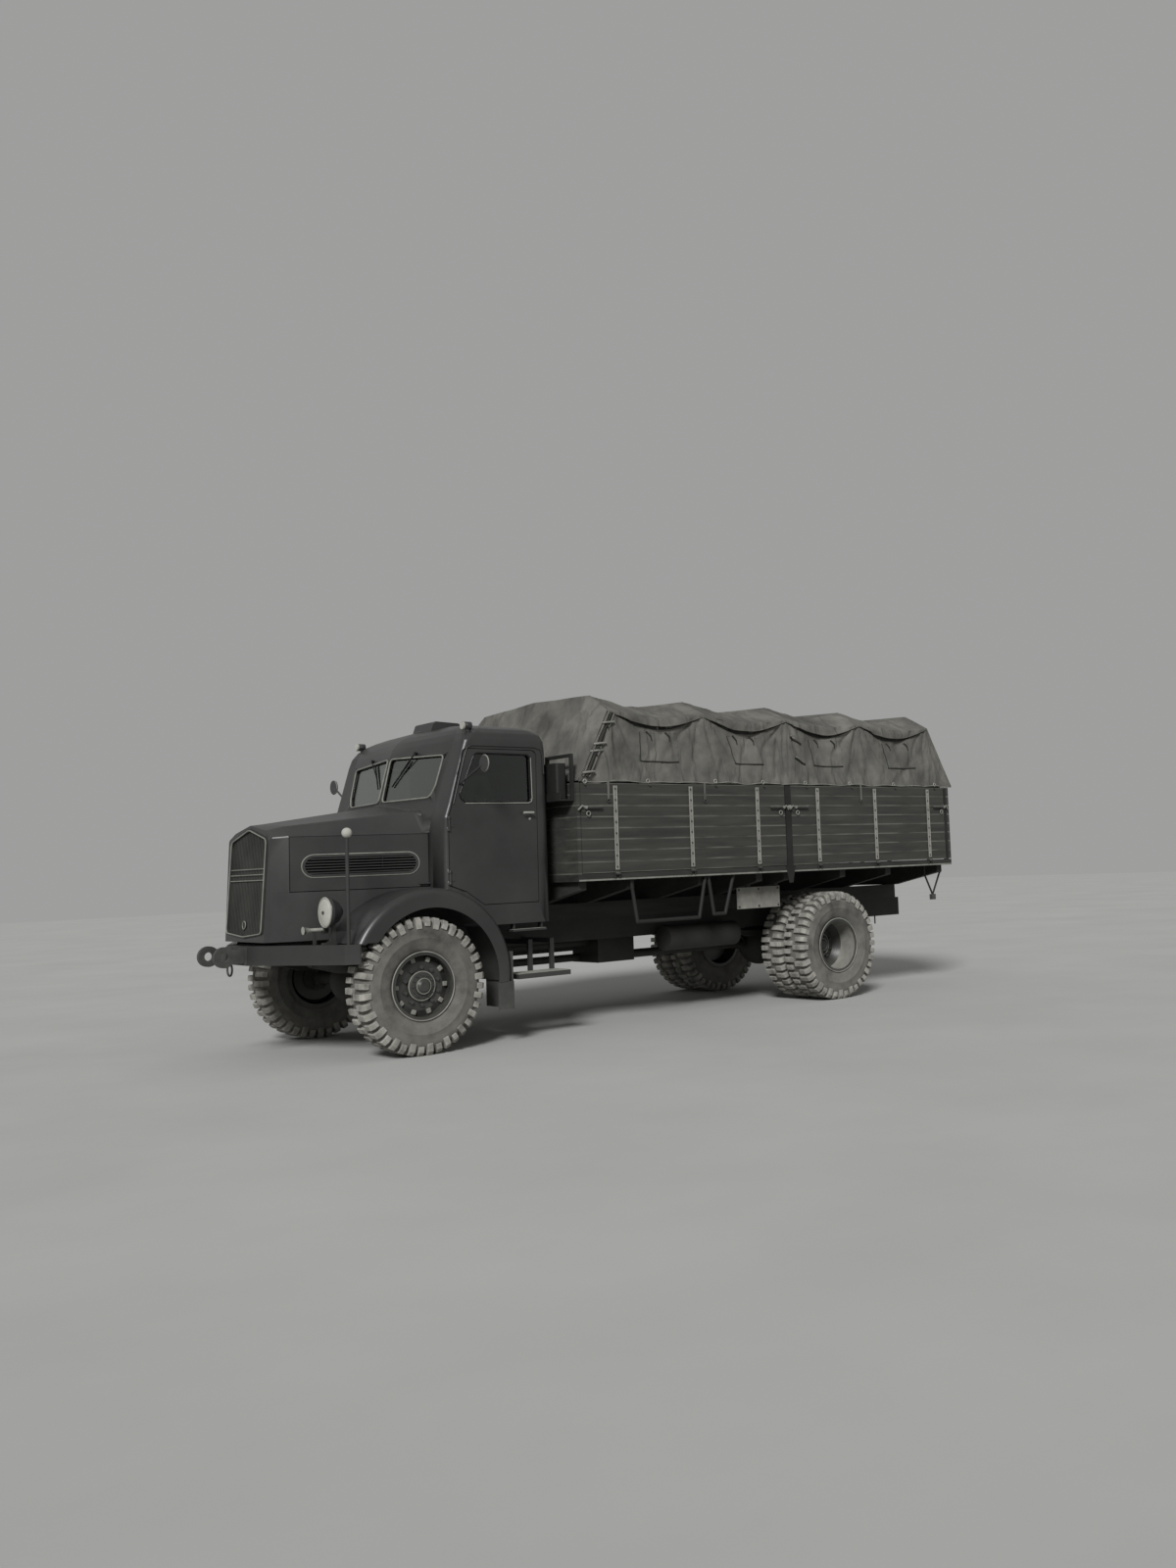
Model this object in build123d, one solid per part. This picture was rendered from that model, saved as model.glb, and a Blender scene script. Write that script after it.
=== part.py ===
from build123d import *
import os
from math import hypot

# Military cargo truck: long bonnet, rounded cab, wooden dropside bed under a canvas tilt,
# single tyres in front and twin tyres behind.
# Millimetres. +X runs to the rear, +Y to the truck's right side, +Z up from the ground.
# Pieces are drawn with X counted from the front axle. save() then moves them so that the
# origin lies on the ground in the middle of the overall length.

# Overall
WHEELBASE = 4600
FRONT_OVERHANG = 1300   # front axle to the tip of the front tow eye
REAR_OVERHANG = 2100    # rear axle to the tip of the rear coupling
FRONT_AXLE_X = FRONT_OVERHANG - (FRONT_OVERHANG + WHEELBASE + REAR_OVERHANG) / 2
SEAT_GAP = 0.3          # clearance between curved or moving seats
PANEL_GAP = 6           # shut line round doors, bonnet sides and dropsides

# Wheels
TYRE_RADIUS = 545
TYRE_WIDTH = 292
LUGS = 40               # round each shoulder
LUG_HEIGHT = 24
LUG_WIDTH = 42
BEAD_RADIUS = 254
RIM_WIDTH = 234
RIM_LIP = 22            # how far the rim flange stands over the bead seat
RIM_WALL = 12
TWIN_SPACING = 330
FRONT_HALF_TRACK = 985
REAR_HALF_TRACK = 925   # middle of the twin tyres
DISC_THICKNESS = 12
FRONT_DISC_OUT = 70
DRUM_RADIUS = 205
DRUM_DEPTH = 150
HUB_RADIUS = 116
HUB_CAP_RADIUS = 62
HUB_CAP_LENGTH = 72

# Axles and springs
AXLE_BORE = 45
KINGPIN_Y = 850
KINGPIN_RADIUS = 20
KINGPIN_BOSS = 36
BOSS_HALF_HEIGHT = 70
KNUCKLE_LUG = 36
KNUCKLE_PLATE_IN = 43   # kingpin to the inner face of the knuckle's plate
KNUCKLE_PLATE = 18
KNUCKLE_RADIUS = 120
AXLE_TUBE = 55
DIFF_RADIUS = 195
DIFF_Y = 150
SPRING_WIDTH = 76
FRONT_SPRING_HALF = 620
REAR_SPRING_HALF = 760
SPRING_STACK = 66
SPRING_LEAF = 14
SPRING_EYE_DROP = 20    # rail underside to the spring's end

# Frame
RAIL_OUT = 420
RAIL_WIDTH = 70
RAIL_WALL = 8
RAIL_TOP = 955
RAIL_DEPTH = 200
RAIL_FRONT = -890
RAIL_REAR = WHEELBASE + 1840
CROSS_DEPTH = 120
CROSS_WIDTH = 70
CROSS_AT = (RAIL_FRONT + 35, 1000, 2150, 2900, 3800, 5200, RAIL_REAR - 35)
CAB_MOUNT_AT = (760, 1190)

# Engine and drive line
ENGINE_FRONT = -760
ENGINE_HALF = 255
ENGINE_LOW = 790
ENGINE_TOP = 1500
GEARBOX_END = 860
GEARBOX_HALF = 165
GEARBOX_LOW = 660
TRANSFER_FRONT = 2330
TRANSFER_REAR = 2760
TRANSFER_LOW = 515
TRANSFER_HIGH = 860
SHAFT_Z = 560           # height of the two shafts to the axles
GEARBOX_SHAFT_Z = 715
FLANGE_X = 250          # axle to the end of its shaft

# Bumper as front view half width and X, tow eyes and rear coupling
BUMPER_PLAN = ((0, -1050), (220, -1050), (1100, -650), (1150, -550))
BUMPER_LOW = 761
BUMPER_HIGH = 914
BUMPER_WALL = 10
BUMPER_FLANGE = 60
TOW_EYE_RADIUS = 82
TOW_EYE_BORE = 35
TOW_EYE_Y = 170
TOW_EYE_HALF = 20       # half thickness of an eye
TOW_PIN_BORE = 21
JAW_RADIUS = 70
JAW_PLATE = 18
JAW_HALF_GAP = 27
HOOK_LOW = 640

# Bonnet and nose. Each section has X, half width, crease height, shoulder half width, shoulder height and
# top height.
NOSE_FACE = (-1000, 395, 1768, 250, 1812, 1868)
NOSE_EDGE = (-950, 440, 1768, 300, 1818, 1876)
NOSE_SEAM = (-830, 520, 1770, 400, 1850, 1888)
BONNET_END = (240, 813, 1770, 640, 1962, 2042)
SHEET = 12              # bonnet, nose and wing skin
CREASE = 1770
BONNET_BOTTOM = 940
BONNET_HINGE_DROP = 5   # crease to the axis of the hinged bonnet side
SIDE_LOW = 1330         # lower edge of the hinged bonnet side
SIDE_FRONT = -824
SIDE_REAR = 225
TOP_REAR = 180
FACE_FOOT_X = -995
FACE_LEAN = 65          # how far the nose leans back from bottom to top
GRILLE_HALF = 372
GRILLE_LOW = 1003
GRILLE_HIGH = 1760
GRILLE_TIP = 1852
GRILLE_TOE = 969
GRILLE_FRAME = 22
GRILLE_RIBS = 22
GRILLE_BARS_AT = (1430, 1475, 1520)
LOUVRE_LOW = 1440
LOUVRE_HIGH = 1610
LOUVRE_FRONT = -760
LOUVRE_REAR = 150
LOUVRE_RIM = 18
LOUVRE_SLATS = 6

# Wings and mud flaps
WING_X = 85
WING_Z = 600
WING_RADIUS = 716
WING_HALF = 1140
WING_INNER = 550
WING_ROUND = 60
WING_NOSE_Z = BUMPER_HIGH + SEAT_GAP
WING_TAIL_Z = 516
WING_PLATE_LOW = 960
ARCH_X = 85
ARCH_Z = 575
ARCH_RADIUS = 585
FLAP_LOW = 289
FLAP_HIGH = 760
FLAP_INNER = 700
FLAP_THICKNESS = 8

# Cab
CAB_HALF = 1070
CAB_FRONT = 235
CAB_REAR = 1245
CAB_FLOOR = 985
CAB_WALL = 45
BELT = 2030
SCREEN_TOP = 2440
ROOF_TOP = 2720
# Plan of the cab at each height: height, windscreen tip X, post X, how far the post, the side and the rear
# stand in from the cab's half width and rear, front corner radius, rear corner radius
CAB_PLAN = (
    (CAB_FLOOR, 228, 235, 210, 0, 0, 36, 70),
    (1880, 222, 236, 208, 0, 0, 36, 70),
    (1985, 183, 272, 204, 0, 0, 38, 74),
    (2450, 306, 410, 174, 0, 0, 40, 80),
    (2530, 338, 434, 180, 4, 2, 60, 90),
    (2590, 384, 470, 198, 30, 15, 90, 110),
    (2632, 440, 510, 250, 85, 39, 120, 140),
    (2662, 496, 556, 360, 190, 69, 130, 160),
    (2688, 560, 610, 510, 350, 109, 130, 160),
    (2706, 624, 664, 690, 550, 165, 110, 140),
    (2716, 700, 730, 890, 790, 235, 80, 90))
PROW_HALF = CAB_HALF - 190
PROW_LOW_X = 195
PROW_HIGH_X = 312
SCREEN_SILL = 35
SCREEN_POST = 35
SCREEN_INSET = 16
GLASS = 6
REAR_WINDOW_HALF = 520
REAR_WINDOW_LOW = 1960
REAR_WINDOW_HIGH = 2330
DOOR_FRONT = 276
DOOR_REAR = 1120
DOOR_LOW = 1154
DOOR_TOP = 2455
HANDLE_X = 1045
HANDLE_Z = 1915
HANDLE_OUT = 36         # door skin to the middle of its handle
HINGE_RADIUS = 9.5
HINGE_STAND_OFF = 10
HINGE_LENGTH = 60
DOOR_HINGE_Z = (1390, 1830)
MIRROR_AT = (425, 1400, 2300)
MIRROR_RADIUS = 65
WHEEL_CENTRE = (640, 590 - CAB_HALF, 2010)
COLUMN_FOOT = (438, 590 - CAB_HALF, 1830)
STEERING_RADIUS = 225
BENCH_HALF = CAB_HALF - 150
BENCH_FRONT = 740
BENCH_BASE_TOP = 1330
CUSHION_TOP = 1450
BACKREST_TOP = 1940

# Lamps, marker poles and horn over the bumper
LAMP_AT = (-662, 900, 1162)
LAMP_RADIUS = 120
POLE_AT = (-617, 1100)
POLE_RADIUS = 14
POLE_BALL = 39
MARKER_TOP = 1766
HORN_Y = 96 - LAMP_AT[1]
HORN_Z = 1030
ROOF_LAMP_Y = CAB_HALF - 85
ROOF_LAMP_Z = 2650

# Steps and tanks
STEP_OUT = 1100
STEP_TOP = 560
STEP_THICK = 40
AIR_TANK_RADIUS = 120
FUEL_LOW = 600
FUEL_HIGH = 1000
FUEL_OUT = 1080

# Bed
BED_FRONT = 1412
BED_REAR = 6428
BED_HALF = 1246
FLOOR_LOW = 1310
FLOOR_TOP = 1372
BOARD = 38
BOARD_TOP = 2165
PLANKS = 8              # in each side board, one above the other
GROOVE = 3
GROOVE_HALF = 4
POST = 38
MID_POST = 75
MID_POST_X = 3938
STAKE_FOOT_LOW = 1205
STAKE_PLATE = 6
BED_HINGE_OUT = 16      # board face to the hinge axis
BED_HINGE_Z = 1365
EYE_RADIUS = 11
EYE_WIDTH = 12
STRAP = 10
STRAP_WIDTH = 36
STRAP_DROP = 20         # board top to the strap's end
STRAP_AT = (1818, 2681, 3517, 4343, 5198, 6055)
GATE_STRAP_Y = (-930, -310, 310, 930)
BEARER_TOP = 1105
BEARER_WIDTH = 80
CROSS_BEARER_AT = (1500, 2020, 2850, 3580, 3950, 4750, 5450, 6300)
CROSS_ROOT = 520        # half width over which a cross bearer keeps its full depth
CROSS_END = BED_HALF - 76
CROSS_TAPER = 0.2
RACK_TUBE = 28
RACK_WIDTH = 400
RACK_DEPTH = 150
RACK_LOW = 2010
RACK_HIGH = 2420
GUARD_Y = BED_HALF - 46
GUARD_TUBE = 17
SPLASH_Y = 1000
SPLASH = 8
LAMP_STAY_Y = SPLASH_Y + 90

# Tilt
BOW_AT = (1830, 2920, 4000, 5070, 6150)
BOW_WIDTH = 34
BOW_BAR = 34
BOW_FOOT_Y = BED_HALF - 69
BOW_GAP = 0.7
CLOTH = 10
EAVE_Z = 2830
EAVE_Y = BED_HALF - 46
TILT_TOP = 3030
TILT_SIDE_TOP = 2990
TILT_SHOULDER_Y = BED_HALF - 346
TILT_SAG = 70
TILT_HEM = 2174
TILT_HALF = BED_HALF + 9
TILT_LIP = 14
TILT_FRONT_X = BED_FRONT + 21
TILT_REAR_X = BED_REAR + 47
TILT_DOOR_HALF = BED_HALF - 266
TILT_DOOR_TOP = 2700


def save(name, shape):
    """Write one sub-part, moved from the front axle's frame to the part's own frame."""
    os.makedirs("parts", exist_ok=True)
    placed = Pos(FRONT_AXLE_X, 0, 0) * shape
    placed.label = name
    export_step(placed, f"parts/{name}.step")


def block(x0, x1, y0, y1, z0, z1):
    return Pos((x0 + x1) / 2, (y0 + y1) / 2, (z0 + z1) / 2) * Box(x1 - x0, y1 - y0, z1 - z0)


def rounded(points, radii):
    """Closed outline with one corner radius for each point."""
    return make_face(FilletPolyline(*points, radius=radii, close=True))


def plate_xz(sketch, y0, y1):
    """Side-view outline (X, Z) made as thick as y0 to y1."""
    return extrude(Plane.XZ.offset(-y1) * sketch, y1 - y0)


def plate_yz(sketch, x0, x1):
    """Front-view outline (Y, Z) made as thick as x0 to x1."""
    return extrude(Plane.YZ.offset(x0) * sketch, x1 - x0)


def plate_xy(sketch, z0, z1):
    """Plan outline (X, Y) made as thick as z0 to z1."""
    return extrude(Plane.XY.offset(z0) * sketch, z1 - z0)


def polygon(*points):
    return make_face(Polyline(*points, close=True))


def rod(radius, start, end):
    """Straight round bar between two points."""
    line = Vector(*end) - Vector(*start)
    return extrude(Plane(origin=start, z_dir=line) * Circle(radius), line.length)


def right_and_left(shape):
    """A right-hand piece with its left-hand twin, in one sub-part."""
    return Compound(children=[shape, mirror(shape, about=Plane.XZ)])


def fuse(pieces):
    solid = pieces[0]
    for piece in pieces[1:]:
        solid = solid + piece
    return solid


def group(pieces):
    """Several separate solids in one sub-part."""
    return Compound(children=list(pieces))


def side_of(name, shape):
    """Save a right-hand piece and its mirrored left-hand twin as two sub-parts."""
    save(f"{name}_right", shape)
    save(f"{name}_left", mirror(shape, about=Plane.XZ))


# Wheels are drawn round the Y axis at the origin, with +Y outboard.


def ring(points):
    """Solid of revolution round the Y axis from (Y, radius) points."""
    return revolve(Plane.YZ * polygon(*points), Axis.Y)


def tyre():
    """Carcass with a row of lugs round each shoulder, those of one side between those of the other."""
    half = TYRE_WIDTH / 2
    bead = RIM_WIDTH / 2
    bore = BEAD_RADIUS + SEAT_GAP
    tread = TYRE_RADIUS - LUG_HEIGHT
    wall = half - 4
    right_half = [
        (bead, bore), (bead, bore + RIM_LIP + 4), (wall, bore + 130), (wall, TYRE_RADIUS - 90),
        (wall - 22, tread - 14), (wall - 48, tread)]
    left_half = [(-y, r) for y, r in reversed(right_half)]
    section = polygon((4, tread - 6), (4, TYRE_RADIUS), (half - 26, TYRE_RADIUS), (half, TYRE_RADIUS - 30),
                      (half, TYRE_RADIUS - 82), (wall - 24, TYRE_RADIUS - 82))
    lug = plate_yz(section, -LUG_WIDTH / 2, LUG_WIDTH / 2)
    pitch = 360 / LUGS
    lugs = [Rot(0, i * pitch, 0) * lug for i in range(LUGS)]
    other = mirror(lug, about=Plane.XZ)
    lugs += [Rot(0, (i + 0.5) * pitch, 0) * other for i in range(LUGS)]
    return ring(right_half + left_half).fuse(*lugs)


def rim(disc_face):
    """Rim barrel with its flanges and a dished disc whose outer face is at disc_face."""
    half = RIM_WIDTH / 2
    seat = BEAD_RADIUS
    inner = seat - RIM_WALL
    lip_y = half + SEAT_GAP
    barrel = ring([
        (-lip_y - 7, inner), (-lip_y - 7, seat + RIM_LIP), (-lip_y, seat + RIM_LIP), (-lip_y, seat),
        (lip_y, seat), (lip_y, seat + RIM_LIP), (lip_y + 7, seat + RIM_LIP), (lip_y + 7, inner)])
    root = max(-half + 20, min(half - 20, disc_face * 0.55))
    disc = ring([
        (disc_face, HUB_RADIUS - 6), (disc_face, 190), (root + 8, inner + 2), (root - 8, inner + 2),
        (disc_face - DISC_THICKNESS, 184), (disc_face - DISC_THICKNESS, HUB_RADIUS - 6)])
    return barrel + disc


def hub(disc_face, drum_inner):
    """Brake drum, hub and cap turning with the wheel, from drum_inner out to the cap."""
    drum_outer = disc_face - DISC_THICKNESS
    drum = ring([
        (drum_inner, 60), (drum_inner, DRUM_RADIUS), (drum_outer - 14, DRUM_RADIUS),
        (drum_outer, DRUM_RADIUS - 30), (drum_outer, 60)])
    cap_end = disc_face + HUB_CAP_LENGTH
    body = ring([
        (drum_inner, 0), (drum_inner, 62), (drum_outer - 2, HUB_RADIUS), (disc_face + 22, HUB_RADIUS),
        (disc_face + 30, HUB_RADIUS - 16), (disc_face + 34, HUB_CAP_RADIUS + 8),
        (cap_end - 16, HUB_CAP_RADIUS), (cap_end, HUB_CAP_RADIUS - 24), (cap_end, 0)])
    bore = ring([(drum_inner - 1, 0), (drum_inner - 1, AXLE_BORE), (disc_face, AXLE_BORE), (disc_face, 0)])
    return drum + body - bore


def make_wheels():
    drum_inner = KINGPIN_Y + KNUCKLE_PLATE_IN + KNUCKLE_PLATE + PANEL_GAP - FRONT_HALF_TRACK
    front_place = Pos(0, FRONT_HALF_TRACK, TYRE_RADIUS)
    whole_tyre = tyre()
    side_of("tyre_front", front_place * whole_tyre)
    side_of("wheel_front", front_place * (rim(FRONT_DISC_OUT) + hub(FRONT_DISC_OUT, drum_inner)))
    outer = Pos(WHEELBASE, REAR_HALF_TRACK + TWIN_SPACING / 2, TYRE_RADIUS)
    inner = Pos(WHEELBASE, REAR_HALF_TRACK - TWIN_SPACING / 2, TYRE_RADIUS)
    middle = Pos(WHEELBASE, REAR_HALF_TRACK, TYRE_RADIUS)
    side_of("tyres_rear", group([inner * whole_tyre, outer * whole_tyre]))
    disc_out = TWIN_SPACING / 2
    outer_rim = rim(-disc_out + DISC_THICKNESS)
    inner_rim = rim(disc_out)
    rear_hub = hub(DISC_THICKNESS, -DRUM_DEPTH - DISC_THICKNESS)
    side_of("wheels_rear", outer * outer_rim + inner * inner_rim + middle * rear_hub)


def make_axles():
    """Driven axle tubes with their differentials, kingpin bosses, stub axles and knuckles."""
    z = TYRE_RADIUS
    stub = AXLE_BORE - SEAT_GAP
    boss = Pos(0, KINGPIN_Y, z) * Cylinder(KINGPIN_BOSS, 2 * BOSS_HALF_HEIGHT)
    bore = Pos(0, KINGPIN_Y, z) * Cylinder(KINGPIN_RADIUS + 0.08, 3 * BOSS_HALF_HEIGHT)
    tube_end = KINGPIN_Y - KINGPIN_BOSS + 14
    tube = rod(AXLE_TUBE, (0, -tube_end, z), (0, tube_end, z))
    bosses = [boss, mirror(boss, about=Plane.XZ)]
    diff = Pos(0, DIFF_Y, z) * Sphere(DIFF_RADIUS)
    nose = rod(62, (0, DIFF_Y, SHAFT_Z), (FLANGE_X, DIFF_Y, SHAFT_Z))
    front = fuse([tube, diff, nose] + bosses + spring_pad(0)) - bore - mirror(bore, about=Plane.XZ)
    save("front_axle", front)

    rear_end = REAR_HALF_TRACK - DRUM_DEPTH - DISC_THICKNESS - PANEL_GAP
    tube = rod(AXLE_TUBE + 18, (WHEELBASE, -rear_end, z), (WHEELBASE, rear_end, z))
    stub_end = REAR_HALF_TRACK
    stubs = rod(stub, (WHEELBASE, -stub_end, z), (WHEELBASE, stub_end, z))
    diff = Pos(WHEELBASE, 0, z) * Sphere(DIFF_RADIUS + 30)
    nose = rod(62, (WHEELBASE - FLANGE_X, 0, SHAFT_Z), (WHEELBASE, 0, SHAFT_Z))
    save("rear_axle", fuse([tube, stubs, diff, nose] + spring_pad(WHEELBASE)))

    lug_high = BOSS_HALF_HEIGHT + 1
    lug_y = KINGPIN_Y + KNUCKLE_PLATE_IN
    plate = rod(KNUCKLE_RADIUS, (0, lug_y, z), (0, lug_y + KNUCKLE_PLATE, z))
    pieces = [plate, rod(stub, (0, lug_y, z), (0, FRONT_HALF_TRACK + FRONT_DISC_OUT - 10, z))]
    for up in (1, -1):
        low, high = sorted((z + up * lug_high, z + up * (lug_high + KNUCKLE_LUG)))
        pieces.append(block(-38, 38, KINGPIN_Y - 34, lug_y + 2, low, high))
    pieces.append(Pos(0, KINGPIN_Y, z) * Cylinder(KINGPIN_RADIUS, 2 * lug_high + KNUCKLE_LUG))
    side_of("knuckle", fuse(pieces))


def spring_pad(x):
    """Blocks on the axle tube that carry the two spring packs."""
    z = TYRE_RADIUS
    y = RAIL_OUT - RAIL_WIDTH / 2
    pad = block(x - 60, x + 60, y - SPRING_WIDTH / 2, y + SPRING_WIDTH / 2, z, spring_low())
    return [pad, mirror(pad, about=Plane.XZ)]


def spring_low():
    """Height of the spring pack's underside over the axle."""
    return TYRE_RADIUS + AXLE_TUBE + 20


def make_springs():
    low = spring_low()
    end_top = RAIL_TOP - RAIL_DEPTH - SPRING_EYE_DROP
    y = RAIL_OUT - RAIL_WIDTH / 2
    table = (("front", 0, FRONT_SPRING_HALF), ("rear", WHEELBASE, REAR_SPRING_HALF))
    for name, x, half in table:
        outline = polygon(
            (x - half, end_top), (x - half, end_top - SPRING_LEAF),
            (x - 0.62 * half, low + 34), (x - 90, low), (x + 90, low), (x + 0.62 * half, low + 34),
            (x + half, end_top - SPRING_LEAF), (x + half, end_top),
            (x + 70, low + SPRING_STACK), (x - 70, low + SPRING_STACK))
        pack = plate_xz(outline, y - SPRING_WIDTH / 2, y + SPRING_WIDTH / 2)
        save(f"springs_{name}", right_and_left(pack))


def make_frame():
    """Two channel rails with cross members, spring hangers, cab mounts and the tow beam."""
    low = RAIL_TOP - RAIL_DEPTH
    inner = RAIL_OUT - RAIL_WIDTH
    channel = polygon(
        (inner, low), (RAIL_OUT, low), (RAIL_OUT, RAIL_TOP), (inner, RAIL_TOP),
        (inner, RAIL_TOP - RAIL_WALL), (RAIL_OUT - RAIL_WALL, RAIL_TOP - RAIL_WALL),
        (RAIL_OUT - RAIL_WALL, low + RAIL_WALL), (inner, low + RAIL_WALL))
    rail = plate_yz(channel, RAIL_FRONT, RAIL_REAR)
    web = RAIL_OUT - RAIL_WALL / 2
    mid = RAIL_TOP - RAIL_DEPTH / 2
    pieces = [rail, mirror(rail, about=Plane.XZ)]
    for x in CROSS_AT:
        pieces.append(block(x - CROSS_WIDTH / 2, x + CROSS_WIDTH / 2, -web, web,
                            mid - CROSS_DEPTH / 2, mid + CROSS_DEPTH / 2))
    beam_front = BUMPER_PLAN[0][1] + BUMPER_WALL
    pieces.append(block(beam_front, CROSS_AT[0], -200, 200, BUMPER_LOW + 19, BUMPER_HIGH - RAIL_WALL - 1))
    small = []
    for x, half in ((0, FRONT_SPRING_HALF), (WHEELBASE, REAR_SPRING_HALF)):
        for end in (x - half + 25, x + half - 25):
            small.append(block(end - 25, end + 25, inner, RAIL_OUT, low - SPRING_EYE_DROP, low + 4))
    for x in CAB_MOUNT_AT:
        small.append(block(x - 40, x + 40, inner, RAIL_OUT, RAIL_TOP - 2, CAB_FLOOR))
    pieces += small + [mirror(piece, about=Plane.XZ) for piece in small]
    save("chassis_frame", fuse(pieces))


def bumper_band(depth):
    """Plan of the bumper from its front line back by depth."""
    front = [(x, y) for y, x in BUMPER_PLAN[1:]]
    back = [(x + depth, y) for x, y in front]
    half = front + back[::-1]
    whole = [(x, -y) for x, y in reversed(front)] + front + back[::-1] + [(x, -y) for x, y in back]
    return polygon(*whole)


def make_bumper():
    face = plate_xy(bumper_band(BUMPER_WALL), BUMPER_LOW, BUMPER_HIGH)
    top = plate_xy(bumper_band(BUMPER_FLANGE), BUMPER_HIGH - RAIL_WALL, BUMPER_HIGH)
    bottom = plate_xy(bumper_band(BUMPER_FLANGE), BUMPER_LOW, BUMPER_LOW + RAIL_WALL)
    save("bumper", face + top + bottom)


def make_couplings():
    """Front tow eyes round the middle block, and the rear coupling on the last cross member."""
    mid = (BUMPER_LOW + BUMPER_HIGH) / 2
    face = BUMPER_PLAN[0][1]
    eye_x = -FRONT_OVERHANG + TOW_EYE_RADIUS
    pieces = [block(face - 14, face, -212, 212, mid - 68, mid + 68)]
    pieces.append(block(face - 110, face, -60, 60, mid - 46, mid + 46))
    for side in (1, -1):
        low, high = TOW_EYE_Y * side - TOW_EYE_HALF, TOW_EYE_Y * side + TOW_EYE_HALF
        eye = rod(TOW_EYE_RADIUS, (eye_x, low, mid), (eye_x, high, mid))
        eye = eye + block(eye_x, face, low, high, mid - 56, mid + 56)
        pieces.append(eye - rod(TOW_EYE_BORE, (eye_x, low - 1, mid), (eye_x, high + 1, mid)))
    save("tow_eyes_front", fuse(pieces))

    rear = RAIL_REAR
    tip = WHEELBASE + REAR_OVERHANG
    low = RAIL_TOP - RAIL_DEPTH / 2
    base = block(rear, rear + 14, -180, 180, low - 75, low + 75)
    shank = block(rear + 10, rear + 70, -45, 45, low - 45, low + 45)
    jaws = [base, shank]
    pin_x = tip - JAW_RADIUS
    for z in (low - JAW_HALF_GAP - JAW_PLATE, low + JAW_HALF_GAP):
        jaws.append(block(rear + 60, pin_x, -JAW_RADIUS, JAW_RADIUS, z, z + JAW_PLATE))
        jaws.append(Pos(pin_x, 0, z + JAW_PLATE / 2) * Cylinder(JAW_RADIUS, JAW_PLATE))
    pin_hole = Pos(pin_x, 0, low) * Cylinder(TOW_PIN_BORE, 200)
    save("tow_coupling_rear", fuse(jaws) - pin_hole)


def bonnet_outline(section, inset, bottom):
    """Front-view outline of the bonnet at one section, with its skin inset."""
    _, half, crease, shoulder_y, shoulder_z, top = section
    h, c, sy, sz, t = half - inset, crease, shoulder_y - inset * 0.6, shoulder_z - inset, top - inset
    points = [(h, bottom), (h, c), (sy, sz), (0, t), (-sy, sz), (-h, c), (-h, bottom)]
    return FilletPolyline(*points, radius=[0, 30, 60, 90, 60, 30, 0], close=True)


def bonnet_body(sections, inset, bottom):
    faces = [Plane.YZ.offset(s[0]) * make_face(bonnet_outline(s, inset, bottom)) for s in sections]
    return loft(faces, ruled=True)


def bonnet_width(x):
    """Half width of the bonnet's side at a station behind the nose seam."""
    x0, w0 = NOSE_SEAM[:2]
    x1, w1 = BONNET_END[:2]
    return w0 + (w1 - w0) * (x - x0) / (x1 - x0)


def face_x(z):
    """X of the leaning nose face at a height."""
    return FACE_FOOT_X + FACE_LEAN * (z - BONNET_BOTTOM) / (GRILLE_TIP - BONNET_BOTTOM)


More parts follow.
